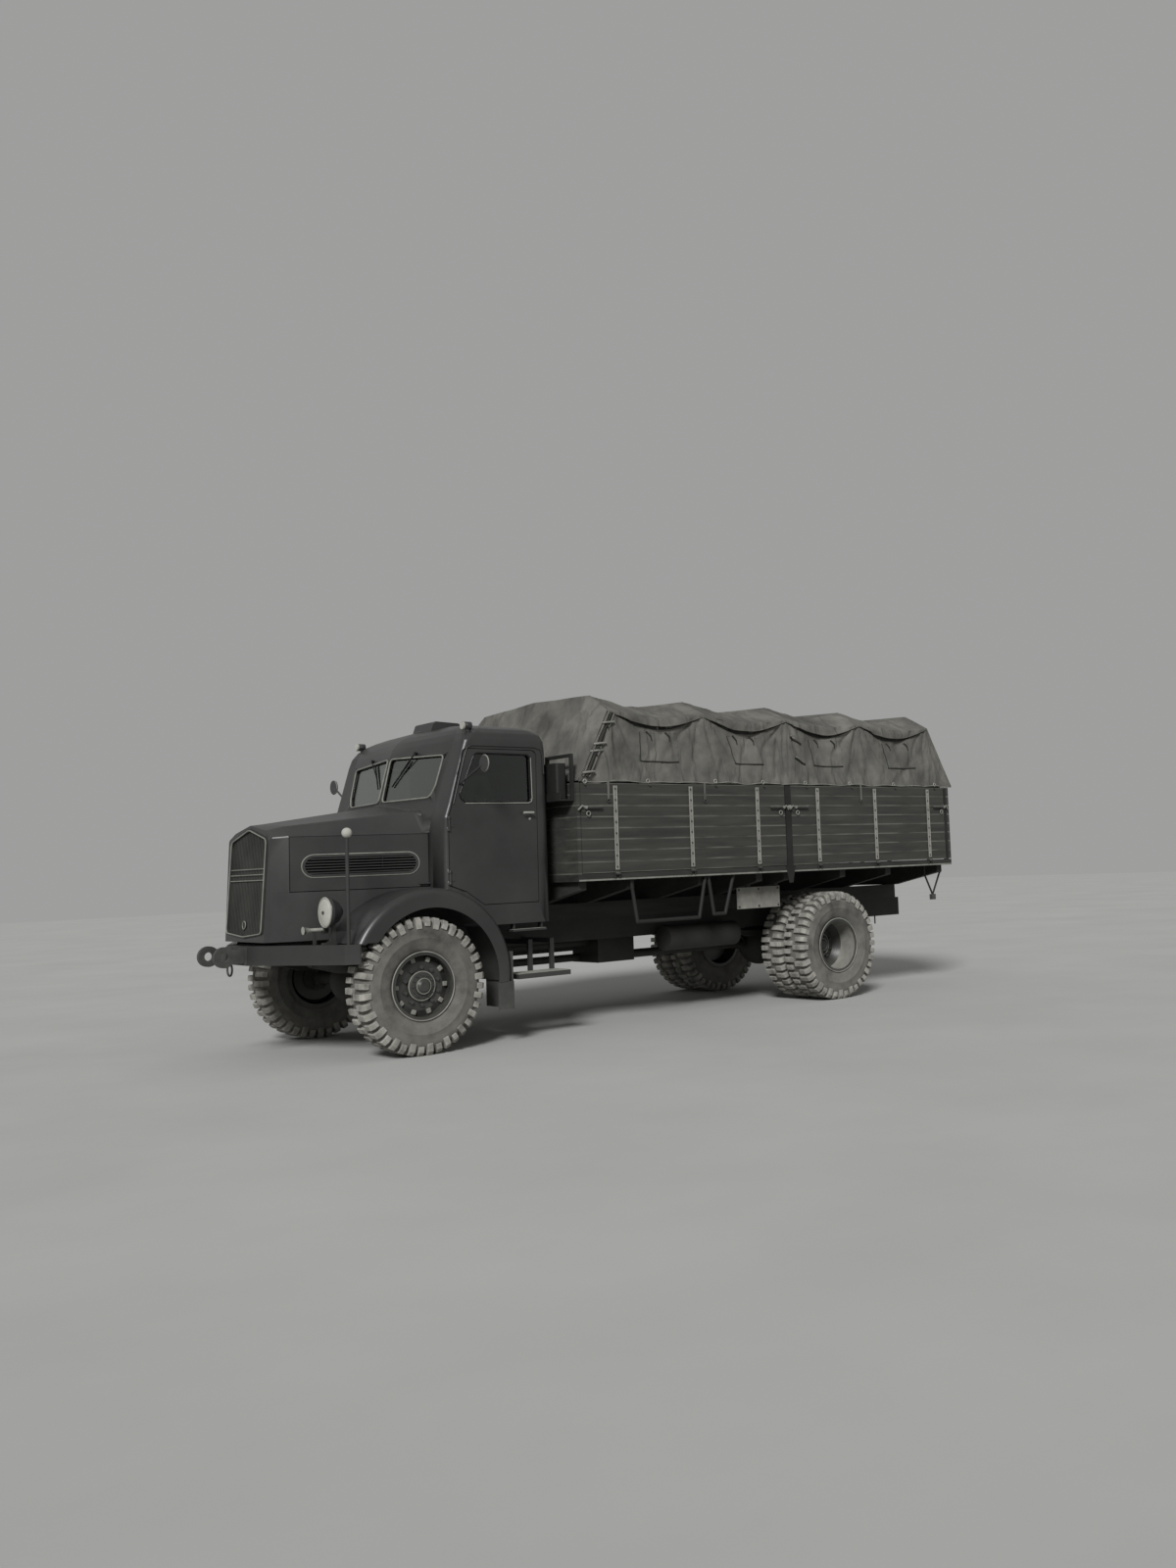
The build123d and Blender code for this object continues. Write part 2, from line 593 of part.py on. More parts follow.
def make_bonnet():
    """Nose and apron in one piece, fixed bonnet top, hinged louvred sides and the grille."""
    body_sections = (NOSE_SEAM, BONNET_END)
    nose_sections = (NOSE_FACE, NOSE_EDGE, NOSE_SEAM)
    outer = bonnet_body(body_sections, 0, BONNET_BOTTOM)
    inner = bonnet_body(body_sections, SHEET, BONNET_BOTTOM - 50)
    shell = outer - inner
    low, high = BONNET_BOTTOM - 60, ROOF_TOP
    wide = CAB_HALF

    top = shell & block(NOSE_SEAM[0] + SEAT_GAP, TOP_REAR, -wide, wide, CREASE, high)
    save("bonnet_top", top)

    side = shell & block(SIDE_FRONT, SIDE_REAR, 0, wide, SIDE_LOW, CREASE - PANEL_GAP)
    louvre = rounded_slot(LOUVRE_FRONT, LOUVRE_REAR, LOUVRE_LOW, LOUVRE_HIGH)
    opening = rounded_slot(LOUVRE_FRONT + LOUVRE_RIM, LOUVRE_REAR - LOUVRE_RIM,
                           LOUVRE_LOW + LOUVRE_RIM, LOUVRE_HIGH - LOUVRE_RIM)
    window = place_on_side(opening, -60, 60)
    frame = place_on_side(louvre, -4, 8) - window
    slats = []
    pitch = (LOUVRE_HIGH - LOUVRE_LOW - 2 * LOUVRE_RIM) / LOUVRE_SLATS
    for i in range(LOUVRE_SLATS):
        z = LOUVRE_LOW + LOUVRE_RIM + (i + 0.5) * pitch
        bar = Pos((LOUVRE_FRONT + LOUVRE_REAR) / 2, z) * Rectangle(LOUVRE_REAR - LOUVRE_FRONT - 20, 9)
        slats.append(place_on_side(bar & louvre, -9, 2))
    hinge_z = CREASE - BONNET_HINGE_DROP
    bead = rod(BONNET_HINGE_DROP - SEAT_GAP, (SIDE_FRONT, bonnet_width(SIDE_FRONT), hinge_z),
               (SIDE_REAR, bonnet_width(SIDE_REAR), hinge_z))
    latch_x = SIDE_REAR - 70
    out = bonnet_width(latch_x)
    neck = rod(8, (latch_x, out - 8, SIDE_LOW + 22), (latch_x, out + 22, SIDE_LOW + 22))
    lever = rod(7, (latch_x - 12, out + 18, SIDE_LOW + 22), (latch_x + 70, out + 36, SIDE_LOW + 22))
    side_of("bonnet_side", fuse([side - window, frame, bead, neck, lever] + slats))

    nose_outer = bonnet_body(nose_sections, 0, BONNET_BOTTOM)
    nose_inner = bonnet_body(nose_sections, SHEET, BONNET_BOTTOM - 50)
    lean = polygon((-1100, low), (face_x(low), low), (face_x(high), high), (-1100, high))
    cut = plate_xz(lean, -wide, wide)
    back = plate_xz(polygon((face_x(low) + SHEET, low), (-700, low), (-700, high),
                            (face_x(high) + SHEET, high)), -wide, wide)
    nose = nose_outer - cut - (nose_inner & back)
    nose = nose - plate_yz(grille_outline(0), -1100, -850)
    apron = shell & block(NOSE_SEAM[0], CAB_FRONT - SEAT_GAP, -wide, wide, low, SIDE_LOW - PANEL_GAP)
    crown = rod(WING_RADIUS + SEAT_GAP, (WING_X, -wide, WING_Z), (WING_X, wide, WING_Z))
    save("nose_shell", nose + (apron - crown))
    make_grille()


def rounded_slot(x0, x1, z0, z1):
    r = (z1 - z0) / 2
    return Pos((x0 + x1) / 2, (z0 + z1) / 2) * SlotOverall(x1 - x0, 2 * r)


def place_on_side(sketch, inward, outward):
    """Extrude a side-view sketch through the right bonnet side, from inward to outward of its skin."""
    x0, w0 = NOSE_SEAM[:2]
    x1, w1 = BONNET_END[:2]
    along = Vector(x1 - x0, w1 - w0, 0).normalized()
    normal = Vector(-along.Y, along.X, 0)
    middle = Vector(0, bonnet_width(0), 0)
    plane = Plane(origin=middle + normal * inward, x_dir=along, z_dir=Vector(along.Y, -along.X, 0))
    return extrude(plane * sketch, -(outward - inward))


def grille_outline(inset):
    g = GRILLE_HALF - inset
    points = [(g, GRILLE_LOW + inset / 2), (g, GRILLE_HIGH - inset / 2), (0, GRILLE_TIP - inset),
              (-g, GRILLE_HIGH - inset / 2), (-g, GRILLE_LOW + inset / 2), (0, GRILLE_TOE + inset)]
    return rounded(points, [30, 60, 20, 60, 30, 0])


def make_grille():
    """Light frame moulding, ribbed panel and three cross bars, all on the leaning face."""
    low, high = 900, 1900
    x_low, x_high = face_x(low), face_x(high)

    def layer(a, b):
        """Slab along the leaning face from a to b behind it."""
        return plate_xz(polygon((x_low + a, low), (x_low + b, low), (x_high + b, high), (x_high + a, high)),
                        -500, 500)

    whole = plate_yz(grille_outline(SEAT_GAP), -1100, -850)
    hole = plate_yz(grille_outline(GRILLE_FRAME), -1100, -850)
    frame = (whole - hole) & layer(-10, SHEET)
    panel = hole & layer(6, SHEET + 2)
    bars = []
    for z in GRILLE_BARS_AT:
        bar = plate_yz(Pos(0, z) * Rectangle(2 * GRILLE_HALF, 14), -1100, -850)
        bars.append(bar & hole & layer(-4, 8))
    ribs = []
    for i in range(GRILLE_RIBS):
        y = (i + 0.5 - GRILLE_RIBS / 2) * (2 * GRILLE_HALF - 60) / GRILLE_RIBS
        rib = plate_yz(Pos(y, 1400) * Rectangle(10, 1000), -1100, -850)
        ribs.append(rib & hole & layer(1, 7))
    save("grille", fuse([frame, panel] + bars + ribs))


def make_wings():
    """Wing crowns with a round outer edge, a side skirt, and inner plates beside the engine."""
    crown = rod(WING_RADIUS, (WING_X, WING_INNER, WING_Z), (WING_X, WING_HALF, WING_Z))
    crown = fillet(crown.edges().filter_by(GeomType.CIRCLE).sort_by(Axis.Y)[-1], WING_ROUND)
    core = rod(WING_RADIUS - SHEET, (WING_X, WING_INNER + SHEET, WING_Z),
               (WING_X, WING_HALF - SHEET, WING_Z))
    core = fillet(core.edges().filter_by(GeomType.CIRCLE).sort_by(Axis.Y)[-1], WING_ROUND - SHEET)
    arch = rod(ARCH_RADIUS, (ARCH_X, WING_INNER + 2 * SHEET, ARCH_Z), (ARCH_X, WING_HALF + 50, ARCH_Z))
    below = plate_xz(polygon((-900, -300), (-900, WING_NOSE_Z), (0, WING_NOSE_Z), (0, WING_TAIL_Z),
                             (1200, WING_TAIL_Z), (1200, -300)), WING_INNER - 60, WING_HALF + 60)
    plate_low = block(WING_X - 800, WING_X + 800, WING_INNER - 10, WING_INNER + SHEET + 1, -300,
                      WING_PLATE_LOW)
    wing = crown - core - arch - below - plate_low
    save("wings", right_and_left(wing))
    flap_x = WING_X + WING_RADIUS + SEAT_GAP
    flap = block(flap_x, flap_x + FLAP_THICKNESS, FLAP_INNER, WING_HALF - 12, FLAP_LOW, FLAP_HIGH)
    strip = block(flap_x - 140, flap_x + FLAP_THICKNESS, WING_HALF - 12, WING_HALF - 4, FLAP_LOW,
                  WING_TAIL_Z - SEAT_GAP)
    save("mud_flaps", right_and_left(flap + strip))


def cab_solid(inset):
    """Outer form of the cab, or its inside when inset by the wall."""
    faces = []
    for z, tip, root, root_in, side_in, rear_in, front_round, rear_round in CAB_PLAN:
        root_half, half, rear = CAB_HALF - root_in, CAB_HALF - side_in, CAB_REAR - rear_in
        roof = z > SCREEN_TOP
        i = inset * (0.45 if roof else 1)
        level = z - inset if roof else z
        if z == CAB_PLAN[0][0]:
            level = z + inset
        points = [(tip + i, 0), (root + i, root_half - i), (root + i + 2, half - i), (rear - i, half - i),
                  (rear - i, -half + i), (root + i + 2, -half + i), (root + i, -root_half + i)]
        radii = [front_round, 50, front_round, rear_round, rear_round, front_round, 50]
        faces.append(Plane.XY.offset(level) * rounded(points, radii))
    body = loft(faces, ruled=True)
    reach = CAB_HALF + 20
    house = rod(WING_RADIUS + SEAT_GAP + inset, (WING_X, -reach, WING_Z), (WING_X, reach, WING_Z))
    return body - house


def door_outline(inset):
    """Side-view outline of the door, clear of the wing below it."""
    i = inset
    return rounded(
        [(DOOR_FRONT - 6 + i, 1322 + i), (420, 1270 + i), (590, DOOR_LOW + i), (DOOR_REAR - i, DOOR_LOW + i),
         (DOOR_REAR + 8 - i, DOOR_TOP - i), (428 + i, DOOR_TOP - i), (292 + i, 1940),
         (DOOR_FRONT - 6 + i, 1880)],
        [0, 0, 0, 12, 50, 40, 0, 0])


def door_window(inset):
    i = inset
    return rounded(
        [(372 + i, 2052), (428 + i, 2002 + i), (1066 - i, 2008 + i), (1060 - i, 2412 - i),
         (528 + i, 2416 - i)],
        [25, 25, 35, 35, 35])


def screen_plane():
    """Plane of the right windscreen pane: origin at the foot of the middle post, U outboard."""
    low = Vector(PROW_LOW_X, 0, BELT)
    out = Vector(95, PROW_HALF, 0).normalized()
    up = Vector(PROW_HIGH_X - PROW_LOW_X, 0, SCREEN_TOP + 40 - BELT)
    normal = out.cross(up).normalized()
    return Plane(origin=low, x_dir=out, z_dir=normal)


def screen_outline(inset):
    i = inset
    return rounded(
        [(SCREEN_POST + i, SCREEN_SILL + i), (SCREEN_POST + i, 428 - i), (PROW_HALF - 45 - i, 398 - i),
         (PROW_HALF - 80 - i, 120), (PROW_HALF - 135 - i, SCREEN_SILL + i)],
        [30, 35, 35, 60, 45])


def rear_window_outline(inset):
    half, low, high = REAR_WINDOW_HALF - inset, REAR_WINDOW_LOW + inset, REAR_WINDOW_HIGH - inset
    return rounded([(half, low), (half, high), (-half, high), (-half, low)], 50)


def make_cab():
    """Hollow cab with its windows cut, doors with hinges, handle and mirror, and the panes."""
    outer = cab_solid(0)
    shell = outer - cab_solid(CAB_WALL)
    aperture = plate_xz(door_outline(0), CAB_HALF - CAB_WALL - 25, CAB_HALF + 30)
    leaf = plate_xz(door_outline(PANEL_GAP), CAB_HALF - CAB_WALL - 25, CAB_HALF + 30)
    glass_hole = plate_xz(door_window(0), CAB_HALF - CAB_WALL - 60, CAB_HALF + 60)
    door = (shell & leaf) - glass_hole
    plane = screen_plane()
    pane_cut = extrude(plane * screen_outline(0), 160) + extrude(plane * screen_outline(0), -120)
    rear_window = plate_yz(rear_window_outline(0), CAB_REAR - CAB_WALL - 20, CAB_REAR + 20)
    cuts = [aperture, mirror(aperture, about=Plane.XZ), pane_cut, mirror(pane_cut, about=Plane.XZ),
            rear_window]
    cab = shell
    for cut in cuts:
        cab = cab - cut
    collar = (bonnet_body((NOSE_SEAM, BONNET_END), 0, BONNET_BOTTOM)
              - bonnet_body((NOSE_SEAM, BONNET_END), SHEET, BONNET_BOTTOM - 20))
    collar = collar & block(TOP_REAR + SEAT_GAP, CAB_FRONT + 5, -CAB_HALF, CAB_HALF, CREASE, ROOF_TOP)
    cab = cab + (collar - cab_solid(0))
    axis_y = CAB_HALF + HINGE_STAND_OFF
    axis_x = DOOR_FRONT - PANEL_GAP / 2
    for z in DOOR_HINGE_Z:
        for up in (1, -1):
            mid = z + up * (HINGE_LENGTH / 2 + 0.5 + HINGE_LENGTH / 4)
            barrel = Pos(axis_x, axis_y, mid) * Cylinder(HINGE_RADIUS, HINGE_LENGTH / 2)
            foot = block(axis_x - 12, axis_x - 4, CAB_HALF - 12, axis_y, mid - HINGE_LENGTH / 4,
                         mid + HINGE_LENGTH / 4)
            cab = cab + barrel + foot + mirror(barrel, about=Plane.XZ) + mirror(foot, about=Plane.XZ)
        barrel = Pos(axis_x, axis_y, z) * Cylinder(HINGE_RADIUS, HINGE_LENGTH)
        foot = block(axis_x + 5, axis_x + 46, CAB_HALF - 2, CAB_HALF + 5, z - HINGE_LENGTH / 2,
                     z + HINGE_LENGTH / 2)
        door = door + barrel + foot
    save("cab_shell", cab)
    arm = rod(9, (382, CAB_HALF - 12, 2150), MIRROR_AT)
    mirror_head = Pos(*MIRROR_AT) * Rot(0, 90, 0) * Cylinder(MIRROR_RADIUS, 20)
    out = CAB_HALF + HANDLE_OUT
    grip = rod(9, (HANDLE_X - 75, out, HANDLE_Z), (HANDLE_X + 20, out, HANDLE_Z))
    neck = rod(11, (HANDLE_X, CAB_HALF - 10, HANDLE_Z), (HANDLE_X, out, HANDLE_Z))
    side_of("door", fuse([door, arm, mirror_head, grip, neck]))
    mid_y = CAB_HALF - CAB_WALL / 2
    side_of("door_glass", plate_xz(door_window(SEAT_GAP), mid_y - GLASS / 2, mid_y + GLASS / 2))
    pane = extrude(plane.offset(SCREEN_INSET) * screen_outline(SEAT_GAP), GLASS)
    mid_x = CAB_REAR - CAB_WALL / 2
    back = plate_yz(rear_window_outline(SEAT_GAP), mid_x - GLASS / 2, mid_x + GLASS / 2)
    save("cab_glass", group([pane, mirror(pane, about=Plane.XZ), back]))


def make_cab_inside():
    """Dashboard, steering wheel on its column, and the bench."""
    floor = CAB_FLOOR + CAB_WALL
    dash_half = CAB_HALF - CAB_WALL - 70
    dash = plate_xz(polygon((CAB_FRONT + CAB_WALL + 3, 1650), (CAB_FRONT + CAB_WALL + 3, 1870), (350, 1985),
                            (430, 1985), (470, 1900), (400, 1760)), -dash_half, dash_half)
    save("dashboard", dash)
    centre = Vector(*WHEEL_CENTRE)
    foot = Vector(*COLUMN_FOOT)
    line = (foot - centre).normalized()
    plane = Plane(origin=centre, z_dir=line)
    rim_ring = plane * Torus(STEERING_RADIUS, 13)
    column = rod(19, tuple(centre), tuple(foot)) - dash
    reach = 2 * STEERING_RADIUS - 20
    spokes = [plane * Box(reach, 24, 9), plane * Box(24, reach, 9)]
    save("steering_wheel", fuse([rim_ring, column] + spokes) - dash)
    half = BENCH_HALF - 20
    save("bench_base", block(BENCH_FRONT + 20, BENCH_FRONT + 450, -half, half, floor, BENCH_BASE_TOP))
    cushion = block(BENCH_FRONT, BENCH_FRONT + 410, -BENCH_HALF, BENCH_HALF, BENCH_BASE_TOP, CUSHION_TOP)
    cushion = fillet(cushion.edges().filter_by(Axis.Y), 30)
    low = CUSHION_TOP + SEAT_GAP
    rest = plate_xz(polygon((1080, low), (1185, low), (1199, BACKREST_TOP), (1130, BACKREST_TOP)),
                    -BENCH_HALF, BENCH_HALF)
    save("bench_cushions", group([cushion, rest]))


def make_engine():
    """Engine block on the rails, gearbox, transfer case and shafts to both axles."""
    engine = block(ENGINE_FRONT, CAB_FRONT - 22, -ENGINE_HALF, ENGINE_HALF, ENGINE_LOW, ENGINE_TOP)
    feet = block(-80, 60, -RAIL_OUT + 10, RAIL_OUT - 10, RAIL_TOP, RAIL_TOP + 30)
    gearbox = block(CAB_FRONT - 30, GEARBOX_END, -GEARBOX_HALF, GEARBOX_HALF, GEARBOX_LOW, 940)
    save("engine_block", fuse([engine, feet, gearbox]))
    transfer = block(TRANSFER_FRONT, TRANSFER_REAR, -200, 230, TRANSFER_LOW, TRANSFER_HIGH)
    web = RAIL_OUT - RAIL_WALL
    hanger = block(TRANSFER_FRONT + 70, TRANSFER_REAR - 60, -web, web, TRANSFER_HIGH - 5, TRANSFER_HIGH + 40)
    save("transfer_case", transfer + hanger)
    # start X, end X, Y, Z and radius of each shaft
    shafts = ((GEARBOX_END, TRANSFER_FRONT, 0, GEARBOX_SHAFT_Z, 40),
              (FLANGE_X, TRANSFER_FRONT, DIFF_Y, SHAFT_Z, 36),
              (TRANSFER_REAR, WHEELBASE - FLANGE_X, 0, SHAFT_Z, 42))
    save("drive_shafts", group([rod(radius, (start + SEAT_GAP, y, z), (end - SEAT_GAP, y, z))
                                for start, end, y, z, radius in shafts]))


def board_section(low):
    """Section of a planked board: thickness from the outer face inwards, with a V groove at each joint."""
    pitch = (BOARD_TOP - low) / PLANKS
    outer = [(0, low)]
    for i in range(1, PLANKS):
        joint = low + i * pitch
        outer += [(0, joint - GROOVE_HALF), (-GROOVE, joint), (0, joint + GROOVE_HALF)]
    outer.append((0, BOARD_TOP))
    inner = [(-BOARD - y, z) for y, z in reversed(outer)]
    return polygon(*outer + inner)


def make_bed():
    """Floor with hinge eyes, bearers, headboard, stakes, four dropsides and the tailgate."""
    floor = block(BED_FRONT, BED_REAR, -BED_HALF, BED_HALF, FLOOR_LOW, FLOOR_TOP)
    axis_y = BED_HALF + BED_HINGE_OUT
    half_eye = EYE_WIDTH / 2
    eye_step = STRAP_WIDTH / 2 + half_eye + SEAT_GAP
    foot_low, foot_high = BED_HINGE_Z - 34, BED_HINGE_Z - 2
    lugs = []
    for x in STRAP_AT:
        for mid in (x - eye_step, x + eye_step):
            low, high = mid - half_eye, mid + half_eye
            lug = rod(EYE_RADIUS, (low, axis_y, BED_HINGE_Z), (high, axis_y, BED_HINGE_Z))
            foot = block(low, high, BED_HALF - 2, axis_y - 2, foot_low, foot_high)
            lugs.append(lug + foot)
    lugs += [mirror(lug, about=Plane.XZ) for lug in lugs]
    axis_x = BED_REAR + BED_HINGE_OUT
    for y in GATE_STRAP_Y:
        for mid in (y - eye_step, y + eye_step):
            low, high = mid - half_eye, mid + half_eye
            lug = rod(EYE_RADIUS, (axis_x, low, BED_HINGE_Z), (axis_x, high, BED_HINGE_Z))
            foot = block(BED_REAR - 2, axis_x - 2, low, high, foot_low, foot_high)
            lugs.append(lug + foot)
    save("bed_floor", fuse([floor] + lugs))

    bearer = block(BED_FRONT + 40, BED_REAR - 40, RAIL_OUT - RAIL_WIDTH, RAIL_OUT, RAIL_TOP, BEARER_TOP)
    cross = []
    end_low = BEARER_TOP + (CROSS_END - CROSS_ROOT) * CROSS_TAPER
    outline = polygon((-CROSS_ROOT, BEARER_TOP), (CROSS_ROOT, BEARER_TOP), (CROSS_END, end_low),
                      (CROSS_END, FLOOR_LOW), (-CROSS_END, FLOOR_LOW), (-CROSS_END, end_low))
    for x in CROSS_BEARER_AT:
        cross.append(plate_yz(outline, x - BEARER_WIDTH / 2, x + BEARER_WIDTH / 2))
    save("bed_bearers", fuse([bearer, mirror(bearer, about=Plane.XZ)] + cross))

    headboard = plate_xz(board_section(FLOOR_TOP), -BED_HALF, BED_HALF)
    save("headboard", Pos(BED_FRONT + BOARD, 0, 0) * headboard)
    gate_front = BED_REAR - BOARD - PANEL_GAP
    mid_front, mid_rear = MID_POST_X - MID_POST / 2, MID_POST_X + MID_POST / 2
    posts = [block(mid_front, mid_rear, BED_HALF - BOARD, BED_HALF, FLOOR_TOP, BOARD_TOP),
             block(gate_front - POST, gate_front, BED_HALF - BOARD, BED_HALF, FLOOR_TOP, BOARD_TOP)]
    foot = plate_xz(polygon((MID_POST_X - 62, FLOOR_TOP), (MID_POST_X + 62, FLOOR_TOP),
                            (MID_POST_X + 26, STAKE_FOOT_LOW), (MID_POST_X - 26, STAKE_FOOT_LOW)),
                    BED_HALF, BED_HALF + STAKE_PLATE)
    face = block(mid_front, mid_rear, BED_HALF, BED_HALF + STAKE_PLATE, FLOOR_TOP, BOARD_TOP - STRAP_DROP)
    posts[0] = fuse([posts[0], foot, face])
    posts += [mirror(post, about=Plane.XZ) for post in posts]
    save("bed_stakes", group(posts))

    low = FLOOR_TOP + PANEL_GAP
    front_span = (BED_FRONT + BOARD + PANEL_GAP, mid_front - PANEL_GAP)
    rear_span = (mid_rear + PANEL_GAP, gate_front - POST - PANEL_GAP)
    for name, span, straps in (("front", front_span, STRAP_AT[:3]), ("rear", rear_span, STRAP_AT[3:])):
        board = Pos(0, BED_HALF, 0) * plate_yz(board_section(low), span[0], span[1])
        for x in straps:
            a, b = x - STRAP_WIDTH / 2, x + STRAP_WIDTH / 2
            board = board + block(a, b, BED_HALF, BED_HALF + STRAP, low, BOARD_TOP - STRAP_DROP)
            board = board + block(a, b, axis_y - EYE_RADIUS, BED_HALF + STRAP, BED_HINGE_Z, low + 2)
            board = board + rod(EYE_RADIUS, (a, axis_y, BED_HINGE_Z), (b, axis_y, BED_HINGE_Z))
        side_of(f"dropside_{name}", board)
    gate = Pos(BED_REAR, 0, 0) * plate_xz(board_section(low), -BED_HALF, BED_HALF)
    for y in GATE_STRAP_Y:
        a, b = y - STRAP_WIDTH / 2, y + STRAP_WIDTH / 2
        gate = gate + block(BED_REAR, BED_REAR + STRAP, a, b, low, BOARD_TOP - STRAP_DROP)
        gate = gate + block(axis_x - EYE_RADIUS, BED_REAR + STRAP, a, b, BED_HINGE_Z, low + 2)
        gate = gate + rod(EYE_RADIUS, (axis_x, a, BED_HINGE_Z), (axis_x, b, BED_HINGE_Z))
    save("tailgate", gate)


def make_rack():
    """Open tube rack with a stowed can, on the outer face of the headboard at the left."""
    back = BED_FRONT - RACK_TUBE
    front = BED_FRONT - RACK_DEPTH
    y_out = 30 - BED_HALF
    y_in = y_out + RACK_WIDTH
    posts = [block(back, BED_FRONT, y, y + RACK_TUBE, RACK_LOW, RACK_HIGH)
             for y in (y_out, y_in - RACK_TUBE)]
    bars = [block(back, BED_FRONT, y_out, y_in, RACK_HIGH - RACK_TUBE, RACK_HIGH),
            block(front, BED_FRONT, y_out, y_in, RACK_LOW, RACK_LOW + 14),
            block(front, front + 12, y_out, y_in, RACK_LOW, RACK_LOW + 70)]
    can = block(front + 14, back - PANEL_GAP, y_out + 60, y_in - 60, RACK_LOW + 14, RACK_HIGH - 80)
    can = fillet(can.edges().filter_by(Axis.Z), 22)
    save("headboard_rack", fuse(posts + bars + [can]))


def make_links():
    """Link hanging from the front towing block, and the rear safety hook."""
    mid = (BUMPER_LOW + BUMPER_HIGH) / 2
    hang = mid - 46
    x = BUMPER_PLAN[0][1] - 60
    front = block(x - 8, x + 8, -30, 30, hang - 12, hang)
    front = front + Pos(x, 0, hang - 62) * Rot(0, 90, 0) * Torus(50, 8)
    y = JAW_RADIUS - 8
    low = RAIL_TOP - RAIL_DEPTH / 2 - JAW_HALF_GAP - JAW_PLATE
    x = WHEELBASE + REAR_OVERHANG - 150
    hook = rod(8, (x, y, low), (x, y, HOOK_LOW - 4))
    curl = Pos(x + 26, y, HOOK_LOW) * Rot(90, 0, 0) * Torus(26, 8)
    curl = curl & block(x - 60, x + 80, y - 20, y + 20, HOOK_LOW - 80, HOOK_LOW)
    save("hanging_links", group([front, hook + curl]))


def make_tilt():
    """Canvas skin closed in front and open behind, over five hoops."""
    cover = tilt_body(0, 0) - tilt_body(CLOTH, 30)
    doorway = block(BOW_AT[-1] + 60, TILT_REAR_X + 50, -TILT_DOOR_HALF, TILT_DOOR_HALF, TILT_HEM - 20,
                    TILT_DOOR_TOP)
    save("canvas_tilt", cover - doorway)
    hoops = []
    skin = [(TILT_HALF, TILT_HEM), (EAVE_Y, EAVE_Z), (TILT_SHOULDER_Y, TILT_SIDE_TOP), (0, TILT_TOP)]
    outer = inset_half(skin, CLOTH + BOW_GAP)
    inner = inset_half(skin, CLOTH + BOW_GAP + BOW_BAR)
    outer[0] = (BOW_FOOT_Y, FLOOR_TOP)
    inner[0] = (BOW_FOOT_Y - BOW_BAR, FLOOR_TOP)
    for x in BOW_AT:
        whole = polygon(*(outer + [(-y, z) for y, z in reversed(outer[:-1])]))
        hollow = polygon(*(inner + [(-y, z) for y, z in reversed(inner[:-1])]))
        hoops.append(plate_yz(whole - hollow, x - BOW_WIDTH / 2, x + BOW_WIDTH / 2))
    save("tilt_bows", group(hoops))


def make_lamps():
    """Headlamps and a horn on brackets over the bumper, and marker poles with a ball."""
    lamp_x, lamp_y, lamp_z = LAMP_AT
    bowl = revolve(Plane.XZ * polygon(
        (-52, 0), (-52, LAMP_RADIUS - 8), (-42, LAMP_RADIUS), (-22, LAMP_RADIUS), (48, 78), (84, 30),
        (84, 0)), Axis.X)
    bowl = Pos(*LAMP_AT) * bowl
    foot = block(lamp_x - 73, lamp_x + 32, lamp_y - 26, lamp_y + 26, BUMPER_HIGH, BUMPER_HIGH + 16)
    post = block(lamp_x + 2, lamp_x + 30, lamp_y - 14, lamp_y + 14, BUMPER_HIGH + 10, lamp_z - 60)
    lamps = right_and_left(fuse([bowl, foot, post]))
    mouth = Pos(-818, HORN_Y, HORN_Z) * Rot(0, 90, 0) * Cone(31, 14, 56)
    tube = rod(14, (-792, HORN_Y, HORN_Z), (-690, HORN_Y, HORN_Z))
    drum = rod(34, (-692, HORN_Y, HORN_Z), (-655, HORN_Y, HORN_Z))
    stem = block(-768, -744, HORN_Y - 8, HORN_Y + 8, BUMPER_HIGH, HORN_Z - 10)
    save("headlamps", group([lamps, fuse([mouth, tube, drum, stem])]))
    pole = Pos(*POLE_AT, (BUMPER_HIGH + MARKER_TOP) / 2) * Cylinder(POLE_RADIUS, MARKER_TOP - BUMPER_HIGH)
    ball = Pos(*POLE_AT, MARKER_TOP) * Sphere(POLE_BALL)
    save("marker_poles", right_and_left(pole + ball))


def make_steps():
    """Cab steps hung from the rails by two arms each."""
    board = block(880, 1400, STEP_OUT - 250, STEP_OUT, STEP_TOP - STEP_THICK, STEP_TOP)
    pieces = [board]
    for x in (1120, 1340):
        pieces.append(block(x, x + 40, RAIL_OUT, STEP_OUT - 220, 790, 830))
        pieces.append(block(x, x + 40, STEP_OUT - 245, STEP_OUT - 220, STEP_TOP - 4, 830))
    upper = block(850, 1180, CAB_HALF - 90, CAB_HALF + 10, 918, 934)
    ears = [block(x, x + 16, CAB_HALF - 70, CAB_HALF - 20, 930, CAB_FLOOR) for x in (870, 1144)]
    save("cab_steps", right_and_left(group([fuse(pieces), fuse([upper] + ears)])))


def make_tanks():
    """Air reservoir outside the left rail and fuel tank outside the right one."""
    tank_y = -RAIL_OUT - 20 - AIR_TANK_RADIUS
    tank = rod(AIR_TANK_RADIUS, (2850, tank_y, 720), (3750, tank_y, 720))
    arms = [block(x, x + 40, -RAIL_OUT - 60, -RAIL_OUT, 780, 840) for x in (2960, 3560)]
    save("air_tank", fuse([tank] + arms))
    fuel = block(1750, 2850, RAIL_OUT + 40, FUEL_OUT, FUEL_LOW, FUEL_HIGH)
    fuel = fillet(fuel.edges().filter_by(Axis.X), 70)
    arms = [block(x, x + 50, RAIL_OUT, RAIL_OUT + 60, 780, 920) for x in (1900, 2600)]
    save("fuel_tank", fuse([fuel] + arms))


